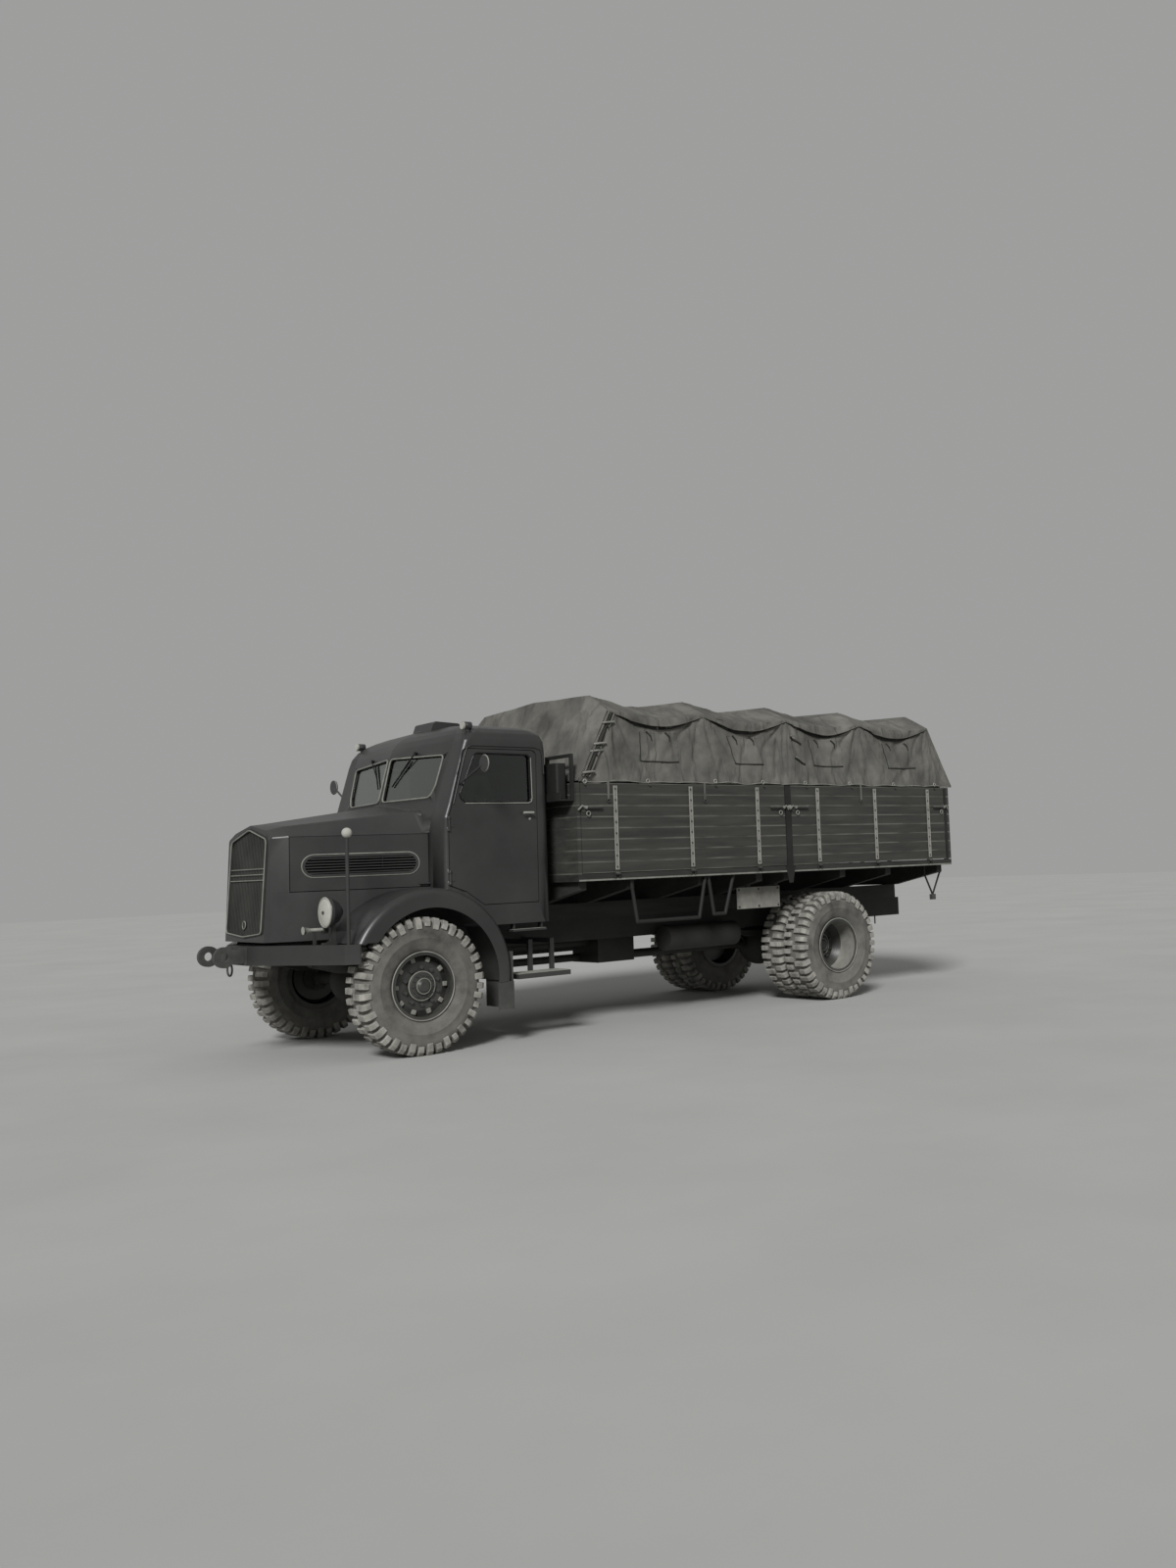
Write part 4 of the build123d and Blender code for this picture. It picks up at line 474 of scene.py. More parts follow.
for material, names in FINISH.items():
    for name in names.split():
        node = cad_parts[name]
        node.data.materials.clear()
        node.data.materials.append(material)
        painted += 1
print(painted, "CAD nodes painted of", len(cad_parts))

# %% [markdown]
# ## Steady moves
#
# Blender's operators act on whatever is selected, and fresh pieces come in with everything selected. So
# each move here first picks the one object that it works on. A finished piece keeps its place in its
# mesh, with the object itself at the frame's origin, because patterns read the object's coordinates.

# %% Pick, settle and shade an object
def pick(obj):
    """Select one object alone and make it active."""
    bpy.ops.object.select_all(action="DESELECT")
    obj.select_set(True)
    bpy.context.view_layer.objects.active = obj


def settle(obj, name, material):
    """Name a new object, move its place into its mesh and give it a material."""
    obj.name = name
    bpy.ops.object.transform_apply(location=True, rotation=True, scale=True)
    obj.data.materials.append(material)
    return obj


def smooth(obj, angle=35):
    """Smooth shading with edges kept sharp over an angle."""
    pick(obj)
    bpy.ops.object.shade_smooth_by_angle(angle=math.radians(angle))


def mesh_object(name, verts, edges, faces, material):
    """Object from points in metres and what joins them, picked and ready for operators."""
    mesh = bpy.data.meshes.new(name)
    mesh.from_pydata(verts, edges, faces)
    mesh.materials.append(material)
    obj = bpy.data.objects.new(name, mesh)
    bpy.context.collection.objects.link(obj)
    pick(obj)
    return obj


print("moves ready for", len(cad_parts), "CAD nodes")

# %% [markdown]
# ## Plates and bars
#
# Most fittings on a truck start as flat plate or round bar, cut to length. A cube and a cone do the same
# here: each is added at its middle, brought to size between two places on the truck, and its edges are
# broken with a bevel where a real edge would catch the light.

# %% Cut plates and bars
def box(name, low, high, material, bevel=0.0):
    """Plate between two corners, its edges rounded by so many millimetres."""
    bpy.ops.object.select_all(action="DESELECT")
    a, b = at(*low), at(*high)
    bpy.ops.mesh.primitive_cube_add(size=1, location=(a + b) / 2)
    obj = bpy.context.object
    obj.scale = b - a
    settle(obj, name, material)
    if bevel:
        bpy.ops.object.mode_set(mode="EDIT")
        bpy.ops.mesh.select_all(action="SELECT")
        bpy.ops.mesh.bevel(offset=bevel / 1000, segments=2)
        bpy.ops.object.mode_set(mode="OBJECT")
    return obj


def rod(name, start, end, radius, material, sides, end_radius=None):
    """Bar of so many sides between two points, or a taper where the end has a radius of its own."""
    bpy.ops.object.select_all(action="DESELECT")
    a, b = at(*start), at(*end)
    bpy.ops.mesh.primitive_cone_add(vertices=sides, radius1=radius / 1000,
                                    radius2=(radius if end_radius is None else end_radius) / 1000,
                                    depth=(b - a).length, location=(a + b) / 2)
    obj = bpy.context.object
    obj.rotation_euler = (b - a).to_track_quat("Z", "Y").to_euler()
    settle(obj, name, material)
    smooth(obj)
    return obj


print("plates and bars ready")

# %% [markdown]
# ## Bent wire, cord and beading
#
# Seals, mouldings, handles and ropes are long, thin and bent. A curve with a round section follows its
# points exactly and becomes a mesh at the end, which is quicker and evener than extruding ring after
# ring.

# %% Bend wire and soften its corners
def tube(name, points, radius, material, closed=False):
    """Bent round bar through points, turned into a mesh."""
    curve = bpy.data.curves.new(name, "CURVE")
    curve.dimensions = "3D"
    curve.bevel_depth = radius / 1000
    curve.bevel_resolution = 2
    curve.use_fill_caps = not closed
    spline = curve.splines.new("POLY")
    spline.points.add(len(points) - 1)
    for knot, point in zip(spline.points, points):
        knot.co = (*at(*point), 1)
    spline.use_cyclic_u = closed
    obj = bpy.data.objects.new(name, curve)
    bpy.context.collection.objects.link(obj)
    pick(obj)
    bpy.ops.object.convert(target="MESH")
    obj.data.materials.clear()
    obj.data.materials.append(material)
    smooth(obj, 50)
    return obj


def ring(name, centre, radius, thick, material, count, sideways=True):
    """Wire bent into a ring of so many chords, standing sideways (facing Y) or facing the front (X)."""
    x, y, z = centre
    if sideways:
        points = [(x + radius * math.cos(a), y, z + radius * math.sin(a)) for a in angles(count)]
    else:
        points = [(x, y + radius * math.cos(a), z + radius * math.sin(a)) for a in angles(count)]
    return tube(name, points, thick, material, True)


print("wire and rings ready")

# %% [markdown]
# ## Soft corners
#
# Beading can't turn a sharp corner. Each corner of a path is replaced by a short parabola that starts and
# ends a little way off, which is how rubber lies round a pane. A bevel on the finished bar would pinch it.

# %% Bend a path round its corners
def soft_corners(points, radius, steps=5):
    """Closed path with each corner replaced by a smooth bend that starts radius before it."""
    path = []
    count = len(points)
    for i, corner in enumerate(points):
        corner = Vector(corner)
        before, after = Vector(points[i - 1]), Vector(points[(i + 1) % count])
        start = corner + (before - corner).normalized() * min(radius, (before - corner).length / 2)
        end = corner + (after - corner).normalized() * min(radius, (after - corner).length / 2)
        for step in range(steps + 1):
            s = step / steps
            path.append(start * (1 - s) ** 2 + corner * 2 * s * (1 - s) + end * s ** 2)
    return path


square = ((0, 0, 0), (100, 0, 0), (100, 0, 100), (0, 0, 100))
print("a square with soft corners has", len(soft_corners(square, 20)), "points")

# %% [markdown]
# ## Copies, pairs and bodies
#
# A truck is nearly the same on both sides, and bolts repeat. What repeats is made once and copied, each
# copy with a mesh of its own.

# %% Copy, join, mirror and ride
MIRROR = Matrix.Scale(-1, 4, (0, 1, 0))


def copy_of(obj, matrix, name=None):
    """Copy with its own mesh, moved inside the mesh by a matrix."""
    new = obj.copy()
    new.data = obj.data.copy()
    new.data.transform(matrix)
    if matrix.determinant() < 0:
        new.data.flip_normals()
    new.name = name or obj.name
    bpy.context.collection.objects.link(new)
    return new


def join(pieces, name):
    """One object from several."""
    bpy.ops.object.select_all(action="DESELECT")
    for piece in pieces:
        piece.select_set(True)
    bpy.context.view_layer.objects.active = pieces[0]
    bpy.ops.object.join()
    pieces[0].name = name
    return pieces[0]


def ride_with(piece, body):
    """Let a piece move with one CAD body."""
    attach(piece, body)


def both_sides(pieces, name, body):
    """Join right-hand pieces, add their mirrored twins, and let each side ride on its own body."""
    right_piece = join(pieces, f"{name}_right")
    left_piece = copy_of(right_piece, MIRROR, f"{name}_left")
    ride_with(right_piece, body.replace("SIDE", "right"))
    ride_with(left_piece, body.replace("SIDE", "left"))
    print(name, "on both sides,", len(right_piece.data.polygons), "faces each")


print("mirror across the truck's middle, determinant", MIRROR.determinant())

# %% [markdown]
# ## Smooth sheet metal
#
# Wings, bonnet and cab are drawn in large soft curves. The CAD nodes come as loose flat triangles, which
# show as facets in a gloss paint. Their shapes are right, so they aren't modelled again: a copy has its
# doubles merged and is shaded smooth, and it takes the place of the CAD node.

# %% Weld and smooth the rounded panels
PANEL_SHARP = 28         # degrees over which an edge stays crisp
WELD_GAP = 0.0001        # metres within which loose corners are one


def welded(name):
    """Copy of a CAD node with its triangles merged and its curves shaded smooth, in the node's place."""
    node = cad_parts[name]
    new = copy_of(node, node.matrix_world.copy(), f"{name}_smooth")
    new.matrix_world = Matrix()
    pick(new)
    bpy.ops.object.mode_set(mode="EDIT")
    bpy.ops.mesh.select_all(action="SELECT")
    bpy.ops.mesh.remove_doubles(threshold=WELD_GAP)
    bpy.ops.object.mode_set(mode="OBJECT")
    smooth(new, PANEL_SHARP)
    ride_with(new, "chassis")
    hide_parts(name)
    return new


for name in ("cab_shell", "bonnet_top", "nose_shell", "wings", "roof_fittings"):
    print(name, "welded to", len(welded(name).data.vertices), "points")

# %% [markdown]
# ## Tyre carcass
#
# The tyres are tall cross-country ones for a 20-inch rim. A carcass is the same all the way round, so
# half its outline is drawn once, from the bead over the wall to the crown, and spun round the axle. The
# small step in the wall is the ridge left by the mould.

# %% Spin the carcass
CARCASS = ((0.11, 0.2545), (0.114, 0.278), (0.118, 0.281), (0.126, 0.305), (0.137, 0.34), (0.141, 0.375),
           (0.1425, 0.378), (0.1425, 0.382), (0.141, 0.385), (0.141, 0.43), (0.136, 0.462), (0.122, 0.49),
           (0.098, 0.51), (0.05, 0.519), (0.0, 0.521))
SPIN_STEPS = 96
SPIN_GAP = 0.0002        # metres within which the spin's last ring is merged with its first


def spun(name, profile, material):
    """Hollow body of revolution round the Y axis from a closed loop of (Y, radius) points in metres."""
    count = len(profile)
    edges = [(i, (i + 1) % count) for i in range(count)]
    obj = mesh_object(name, [(0, y, r) for y, r in profile], edges, [], material)
    bpy.ops.object.mode_set(mode="EDIT")
    bpy.ops.mesh.select_all(action="SELECT")
    bpy.ops.mesh.spin(steps=SPIN_STEPS, angle=2 * math.pi, center=(0, 0, 0), axis=(0, 1, 0))
    bpy.ops.mesh.select_all(action="SELECT")
    bpy.ops.mesh.remove_doubles(threshold=SPIN_GAP)
    bpy.ops.mesh.normals_make_consistent(inside=False)
    bpy.ops.object.mode_set(mode="OBJECT")
    smooth(obj, 40)
    return obj


carcass = spun("carcass", CARCASS + tuple((-y, r) for y, r in reversed(CARCASS[:-1])), RUBBER)
print("carcass", [round(v, 3) for v in carcass.dimensions])

# %% [markdown]
# ## Cleats
#
# Deep bars of rubber run from the tyre's middle over each shoulder, long and short in turn, and the two
# sides are half a step apart. One bar's side view is drawn as a face and extruded to the bar's width, and
# a bevel rounds it as the mould does. Each is then copied round the tyre with few faces, as there are
# hundreds.

# %% Mould the cleats and set them round the tyre
CLEATS = 40              # round each shoulder
CLEAT_ROOT = 0.512       # radius where a cleat grows out of the crown
CLEAT_TOP = TYRE_RADIUS - 0.0005


def cleat(inner_y, outer_y, low_r, width):
    """One tread block at the top of the tyre, from near its middle over the shoulder down to low_r."""
    section = ((inner_y, CLEAT_ROOT), (inner_y, CLEAT_TOP), (outer_y - 0.026, CLEAT_TOP),
               (outer_y, TYRE_RADIUS - 0.03), (outer_y, low_r), (outer_y - 0.03, low_r + 0.004))
    side_view = [(-width / 2, y, r) for y, r in section]
    obj = mesh_object("cleat", side_view, [], [tuple(range(len(section)))], TREAD)
    bpy.ops.object.mode_set(mode="EDIT")
    bpy.ops.mesh.select_all(action="SELECT")
    bpy.ops.mesh.extrude_region_move(TRANSFORM_OT_translate={"value": (width, 0, 0)})
    bpy.ops.mesh.select_all(action="SELECT")
    bpy.ops.mesh.normals_make_consistent(inside=False)
    bpy.ops.mesh.bevel(offset=0.005, segments=2)
    bpy.ops.object.mode_set(mode="OBJECT")
    return obj


long_cleat = cleat(0.005, 0.146, 0.45, 0.05)
short_cleat = cleat(0.04, 0.1445, 0.47, 0.047)
blocks = []
for index in range(CLEATS):
    for offset, flip, first in ((0, Matrix(), 0), (0.5, MIRROR, 1)):
        source = long_cleat if (index + first) % 2 == 0 else short_cleat
        turn = Matrix.Rotation(2 * math.pi * (index + offset) / CLEATS, 4, "Y")
        blocks.append(copy_of(source, turn @ flip))
for source in (long_cleat, short_cleat):
    bpy.data.objects.remove(source)
tyre = join([carcass] + blocks, "tyre")
print("tyre", [round(v, 3) for v in tyre.dimensions], "with", CLEATS, "cleats on each shoulder")

# %% [markdown]
# ## Six tyres
#
# The front axle has single wheels and the rear one has twins. The finished tyre is copied to the six places
# and turned a little further each time, so that the cleats don't line up, as they never do on a real truck.
# An array modifier could place them too, but each tyre has to turn on a wheel of its own.
# Each takes the place of its CAD tyre, whose outer size it keeps.

# %% Fit the tyres
TYRES = (("front_left", -FRONT_TRACK, 0, "front_wheel_left", "tyre_front_left"),
         ("front_right", FRONT_TRACK, 0, "front_wheel_right", "tyre_front_right"),
         ("rear_left_out", -REAR_TRACK - TWIN_STEP, 1, "rear_wheels_left", "tyres_rear_left"),
         ("rear_left_in", -REAR_TRACK + TWIN_STEP, 1, "rear_wheels_left", "tyres_rear_left"),
         ("rear_right_in", REAR_TRACK - TWIN_STEP, 1, "rear_wheels_right", "tyres_rear_right"),
         ("rear_right_out", REAR_TRACK + TWIN_STEP, 1, "rear_wheels_right", "tyres_rear_right"))
TYRE_TURN = 0.05         # radians from one tyre to the next
for index, (name, y, axle, body, node) in enumerate(TYRES):
    place = Matrix.Translation((FRONT_AXLE + axle * WHEELBASE, y, TYRE_RADIUS))
    new = copy_of(tyre, place @ Matrix.Rotation(TYRE_TURN * index, 4, "Y"), f"tyre_{name}")
    ride_with(new, body)
    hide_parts(node)
bpy.data.objects.remove(tyre)
print(len(TYRES), "tyres fitted")

# %% [markdown]
# ## Wheel trim
#
# Pale rings on both edges of each rim and round the hub are painted highlight, where those rounded edges
# catch the light. Nuts hold the disc, studs ring the hub, and clamps hold the split front rims. The CAD
# discs carry the large forms, so these small ones are added alone: a nut is a six-sided bar, made once and
# copied round the axle.

# %% Rings, nuts, studs and clamps of a wheel
NUTS = 10
HUB_STUDS = 12
RIM_FACE = 124           # outer face of a rim, from the middle of its tyre
AXLE_Z = 1000 * TYRE_RADIUS


def round_axle(piece, count, centre, turn=0.0):
    """The piece's copies at equal steps round a wheel's centre, the piece itself taken away."""
    there, back = Matrix.Translation(centre), Matrix.Translation(-centre)
    copies = [copy_of(piece, there @ Matrix.Rotation(turn + a, 4, "Y") @ back) for a in angles(count)]
    bpy.data.objects.remove(piece)
    return copies


def wheel_trim(x, disc_y, flange_y, clamps):
    """Right-hand rings of painted highlight, nuts and studs: disc_y is the disc's outer face, flange_y the
    rim's.
    """
    centre = at(x, 0, AXLE_Z)
    # The pale rings on the rim and hub edges are painted highlight.
    pieces = [ring("rim_highlight_ring", (x, y, AXLE_Z), radius, thick, RIM_EDGE, 72) for y, radius, thick in
              ((flange_y, 270, 6), (flange_y - 12, 247, 5), (disc_y + 22, 114, 5), (disc_y + 56, 61, 4))]
    nut = rod("nut", (x, disc_y - 1, AXLE_Z + 148), (x, disc_y + 22, AXLE_Z + 148), 16, COUPLING, 6)
    pieces += round_axle(nut, NUTS, centre)
    stud = rod("stud", (x, disc_y + 28, AXLE_Z + 88), (x, disc_y + 41, AXLE_Z + 88), 8, COUPLING, 8)
    pieces += round_axle(stud, HUB_STUDS, centre)
    if clamps:
        clamp = box("clamp", (x - 19, disc_y - 14, AXLE_Z + 192), (x + 19, disc_y + 10, AXLE_Z + 232),
                    RIM_EDGE, 6)
        pieces += round_axle(clamp, NUTS, centre, math.pi / NUTS)
    return pieces


FRONT_DISC = 1000 * FRONT_TRACK + 70
both_sides(wheel_trim(0, FRONT_DISC, 1000 * FRONT_TRACK + RIM_FACE, True), "front_wheel_trim",
           "front_wheel_SIDE")

# %% [markdown]
# ## Rear wheels
#
# The outer twin is dished the other way, and one looks down a deep well of rim to its disc. The well is
# what catches the light, so its dusty lining is spun as a thin shell with the slight hump that seats the
# tyre.

# %% Line the rear rims
REAR_DISC = 1000 * REAR_TRACK + 12
rear_x = 1000 * WHEELBASE
outer_y = 1000 * (REAR_TRACK + TWIN_STEP)
well = spun("rim_well", ((0.121, 0.2415), (0.06, 0.239), (-0.06, 0.2405), (-0.074, 0.236), (-0.07, 0.2435),
                         (0.118, 0.2445)), DUSTY)
well.data.transform(Matrix.Translation((FRONT_AXLE + WHEELBASE, outer_y / 1000, TYRE_RADIUS)))
both_sides(wheel_trim(rear_x, REAR_DISC, outer_y + RIM_FACE, False) + [well], "rear_wheel_trim",
           "rear_wheels_SIDE")

# %% [markdown]
# ## Windscreen
#
# The windscreen is two flat panes that meet in a prow. Pale rubber seals hold them, and two wipers hang
# from spindles above. Working in the leaning pane's own plane keeps every point on the glass: along it
# from the middle post, up from its foot, and out in front.

# %% Seals, wipers and gutter
SCREEN_FOOT = Vector((195, 0, 2030))
SCREEN_OUT = Vector((95, 880, 0)).normalized()
SCREEN_IN = SCREEN_OUT.cross(Vector((117, 0, 450))).normalized()
SCREEN_UP = SCREEN_IN.cross(SCREEN_OUT)
SCREEN_EDGE = ((35, 35), (35, 428), (835, 398), (800, 120), (745, 35))
DOOR_Y = 1070            # face of the door, from the middle
GUTTER = ((1196, 2250), (1194, 2400), (1170, 2462), (1100, 2480), (500, 2480), (455, 2455), (425, 2370),
          (320, 1990))
ROOF_LAMP_Y, ROOF_LAMP_Z = 985, 2650


def on_screen(along, rise, out):
    """Point on the right pane's plane: along from the middle post, up from its foot, and out in front."""
    return SCREEN_FOOT + SCREEN_OUT * along + SCREEN_UP * rise - SCREEN_IN * out


wiper_arm = [on_screen(420, 446, 18), on_screen(335, 372, 10), on_screen(240, 285, 0)]
screen = [tube("seal", soft_corners([on_screen(u, v, 1) for u, v in SCREEN_EDGE], 45), 8, SEAL, True),
          rod("spindle", on_screen(420, 446, -4), on_screen(420, 446, 22), 14, BLACK, 12),
          tube("wiper_arm", wiper_arm, 5, BLACK),
          tube("wiper_blade", [on_screen(340, 392, -4), on_screen(140, 172, -4)], 7, BLACK),
          tube("gutter", [(x, DOOR_Y + 3, z) for x, z in GUTTER], 6, BODY),
          # The roof lamps' lenses are pale discs: painted highlight on their glass.
          rod("roof_lens", (462, ROOF_LAMP_Y, ROOF_LAMP_Z), (471, ROOF_LAMP_Y, ROOF_LAMP_Z), 30, COVER, 20),
          rod("roof_rim", (468, ROOF_LAMP_Y, ROOF_LAMP_Z), (478, ROOF_LAMP_Y, ROOF_LAMP_Z), 35, TRIM, 20)]
both_sides(screen, "cab_trim", "chassis")

# %% [markdown]
# ## Doors
#
# Each door has a dark seal round its glass, a rubbed moulding under it, a grip with a keyhole below, and
# a round mirror on an arm. The lines could be painted on, but raised beading catches the light as the
# real one does. All of it rides on the door, so it swings out with it.

# %% Trim the doors
DOOR_GLASS = ((372, 2052), (428, 2002), (1066, 2008), (1060, 2412), (528, 2416))
DOOR_MOULDING = ((432, 1996), (1040, 2000), (1066, 2012), (1074, 2040), (1068, 2385))
MIRROR_Y, MIRROR_Z = 1400, 2300
door = [tube("door_seal", soft_corners([(x, DOOR_Y + 1, z) for x, z in DOOR_GLASS], 40), 7, BLACK, True),
        tube("door_trim", [(x, DOOR_Y + 3, z) for x, z in DOOR_MOULDING], 5, TRIM),
        rod("grip", (968, 1106, 1915), (1067, 1106, 1915), 10.5, TRIM, 12),
        rod("grip_neck", (1045, 1071, 1915), (1045, 1106, 1915), 12, TRIM, 12),
        rod("keyhole", (1045, 1070, 1865), (1045, 1075, 1865), 11, TRIM, 12),
        # The mirror glass is a pale disc in the trim finish: painted reflection of the sky.
        rod("mirror_glass", (434, MIRROR_Y, MIRROR_Z), (437, MIRROR_Y, MIRROR_Z), 59, TRIM, 24),
        ring("mirror_rim", (424, MIRROR_Y, MIRROR_Z), 65, 6, SEAL, 24, False)]
both_sides(door, "door_trim", "door_SIDE")

# %% [markdown]
# ## Nose
#
# A moulding follows the grille's six-cornered edge, three thin bars cross it, and a ringed hole below takes
# the starting handle. The nose leans back a little, so its points are given by width and height, and one
# function finds how far forward the leaning face is there.

# %% Moulding, bars and crank hole
GRILLE_EDGE = ((362, 1010), (362, 1750), (0, 1840), (-362, 1750), (-362, 1010), (0, 981))
GRILLE_BARS = (1430, 1475, 1520)
FACE_FOOT, FACE_FOOT_Z = -995, 940   # a point at the foot of the nose
FACE_LEAN = 65 / 912                 # how far it leans back for each millimetre of height
CRANK_Z = 1075


def on_nose(y, z, out):
    """Point on the leaning nose, and out in front of it."""
    return (FACE_FOOT + FACE_LEAN * (z - FACE_FOOT_Z) - out, y, z)


moulding = soft_corners([on_nose(y, z, 11) for y, z in GRILLE_EDGE], 40)
nose = [tube("grille_moulding", moulding, 6, SEAL, True),
        rod("crank_hole", on_nose(0, CRANK_Z, -8), on_nose(0, CRANK_Z, 6), 30, BLACK, 20)]
nose += [tube("grille_bar", [on_nose(-342, z, 5), on_nose(342, z, 5)], 4, SEAL) for z in GRILLE_BARS]
crank = [on_nose(32 * math.cos(a), CRANK_Z + 32 * math.sin(a), 6) for a in angles(16)]
nose.append(tube("crank_ring", crank, 4, SEAL, True))
ride_with(join(nose, "grille_trim"), "chassis")
print("nose trim of", len(nose), "pieces")

# %% [markdown]
# ## Lamps, marker poles and horn
#
# Pale covers close the headlamps for a road march, each with a small knob in its middle. A white ball
# tops each marker pole so that the driver sees the bumper's corners. The horn sits above the left wing.
# Covers and horn are turned parts, so tapered bars make them, and a sphere makes the ball.

# %% Covers, balls and horn
LAMP = (-662, 900, 1162)
POLE = (-617, 1100, 1766)
HORN_Y, HORN_Z = -804, 1030


def before_lamp(out):
    """Point in front of the headlamp's middle."""
    return (LAMP[0] - out, LAMP[1], LAMP[2])


lamps = [rod("lamp_cover", before_lamp(51), before_lamp(62), 108, COVER, 40, 92),
         ring("lamp_ring", before_lamp(50), 113, 6, TRIM, 40, False),
         rod("lamp_knob", before_lamp(63), before_lamp(72), 12, COUPLING, 12)]
bpy.ops.object.select_all(action="DESELECT")
bpy.ops.mesh.primitive_uv_sphere_add(segments=24, ring_count=12, radius=0.0395, location=at(*POLE))
lamps.append(settle(bpy.context.object, "pole_ball", COVER))
smooth(lamps[-1])
both_sides(lamps, "lamp_trim", "chassis")
horn = [rod("horn_tube", (-791, HORN_Y, HORN_Z), (-690, HORN_Y, HORN_Z), 14.6, TRIM, 16),
        rod("horn_mouth", (-848, HORN_Y, HORN_Z), (-791, HORN_Y, HORN_Z), 31.5, TRIM, 20, 14.6)]
ride_with(join(horn, "horn_cover"), "chassis")
print("horn", [round(v, 3) for v in horn[0].dimensions])

# %% [markdown]
# ## Louvre rims
#
# A pressed rim runs round each long louvre opening in the bonnet's sides. The side is curved, so the rim's
# points are found by casting rays at it: each starts outside, runs inwards and stops on the panel. The rims
# ride on the hinged sides.

# %% Lay rims on the bonnet sides
LOUVRE = (-731, 145, 1443, 1607)     # front, rear, low and high
RIM_OUT = 8                          # from the opening's edge to the rim's middle
OUTSIDE_Y = 1400                     # where the rays start


def skin_of(name):
    """Search tree over the faces of a CAD node, for finding places on it."""
    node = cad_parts[name]
    verts = [node.matrix_world @ vertex.co for vertex in node.data.vertices]
    return BVHTree.FromPolygons(verts, [list(face.vertices) for face in node.data.polygons])


def touch(skin, start, direction):
    """Where a ray meets the skin, both in millimetres from the front axle."""
    place = skin.ray_cast(at(*start), Vector(direction))[0]
    return Vector(((place.x - FRONT_AXLE) * 1000, place.y * 1000, place.z * 1000))


side_skin = skin_of("bonnet_side_right")
x0, x1, low, high = LOUVRE
middle, half = (low + high) / 2, (high - low) / 2
radius = half + RIM_OUT
turns = [math.pi * i / 12 for i in range(13)]
oval = [(x1 - half + radius * math.sin(a), middle + radius * math.cos(a)) for a in turns]
oval += [(x0 + half - radius * math.sin(a), middle - radius * math.cos(a)) for a in turns]
rim = [touch(side_skin, (x, OUTSIDE_Y, z), (0, -1, 0)) + Vector((0, 1, 0)) for x, z in oval]
both_sides([tube("louvre_rim", rim, 6, SEAL, True)], "louvre_rim", "bonnet_side_SIDE")

# %% [markdown]
# ## Engine cover
#
# Between the louvre slats one sees something dark, the top of the engine. A plain block with rounded
# edges is all that shows, so no more is made. It also fills the bay when the bonnet's sides are up.

# %% Cover the engine
engine_cover = box("engine_cover", (-700, -110, 1498), (170, 110, 1700), CHASSIS, 20)
ride_with(engine_cover, "chassis")
print("engine cover", [round(v, 3) for v in engine_cover.dimensions])

# %% [markdown]
# ## Bench
#
# The bench is a long stuffed seat and backrest in leathercloth, sewn into upright channels. A cloth
# solver could stuff it, but the channels are so regular that a rounded section run across the cab gives
# them better. It is pulled in at each seam and rounded off at its ends, and its underside stays flat on
# the box below.

# %% Shape of a stuffed section
CHANNEL = 115            # from seam to seam
GROOVE, GROOVE_HALF = 9, 8           # depth of a seam, and how far from it the cloth still dips
SAT_FLAT = 3             # how far a channel's middle is pressed down by use
BENCH_HALF = 919
BENCH_ENDS = 34          # length of the rounding at each end
SLICE, SLICES = 5.5, 335
bench_top = 1000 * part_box("bench_cushions")[1].z
SEAT_SECTION = ((741, 1331), (1149, 1331), (1149, 1449), (741, 1449))
BACK_SECTION = ((1082, 1452), (1184, 1452), (1197, bench_top - 1), (1132, bench_top - 1))


def stuffed(point, y, middle, anchor, shows):
    """Where a point of the section lies in the finished pad, y from the cab's middle."""
    end = max(0.0, (abs(y) - BENCH_HALF + BENCH_ENDS) / BENCH_ENDS)
    full = math.sqrt(max(0.0, 1 - 0.8 * end * end))
    away = y - CHANNEL * round(y / CHANNEL)
    dip = GROOVE * math.exp(-(away / GROOVE_HALF) ** 2) + SAT_FLAT * (2 * away / CHANNEL) ** 2
    facing = max(0.0, (point - middle).normalized().dot(shows))
    spread = point - anchor
    thick = shows * spread.dot(shows)
    place = anchor + (spread - thick) * (1 - 0.1 * end * end) + thick * full - shows * dip * facing ** 0.5
    return at(place.x, y, place.z)


print("bench top at", round(bench_top), "mm")

# %% [markdown]
# ## Sewing the pads
#
# A section is a rounded rectangle, and the pad is many such sections in a row with faces between them and a
# cap at each end. The two caps could face inwards, so the normals are made consistent before shading. Both
# pads stand for the one CAD cushion.

# %% Sew seat and backrest
def pad(name, section, anchor, shows):
    """Stuffed pad: section as (x, z) corners, anchor the place that its ends shrink to, and shows the way
    that its sewn face looks."""
    loop = soft_corners([(x, 0, z) for x, z in section], 30, 6)
    count = len(loop)
    middle = sum(loop, Vector()) / count
    verts = [stuffed(point, -BENCH_HALF + SLICE * i, middle, Vector(anchor), Vector(shows))
             for i in range(SLICES) for point in loop]
    faces = []
    for first in range(0, count * (SLICES - 1), count):
        for j in range(count):
            k = (j + 1) % count
            faces.append((first + j, first + k, first + count + k, first + count + j))
    faces += [tuple(range(count)), tuple(range(len(verts) - 1, len(verts) - count - 1, -1))]
    obj = mesh_object(name, verts, [], faces, SEAT)
    bpy.ops.object.mode_set(mode="EDIT")
    bpy.ops.mesh.select_all(action="SELECT")
    bpy.ops.mesh.normals_make_consistent(inside=False)
    bpy.ops.object.mode_set(mode="OBJECT")
    smooth(obj, 50)
    ride_with(obj, "chassis")
    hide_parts("bench_cushions")
    return obj


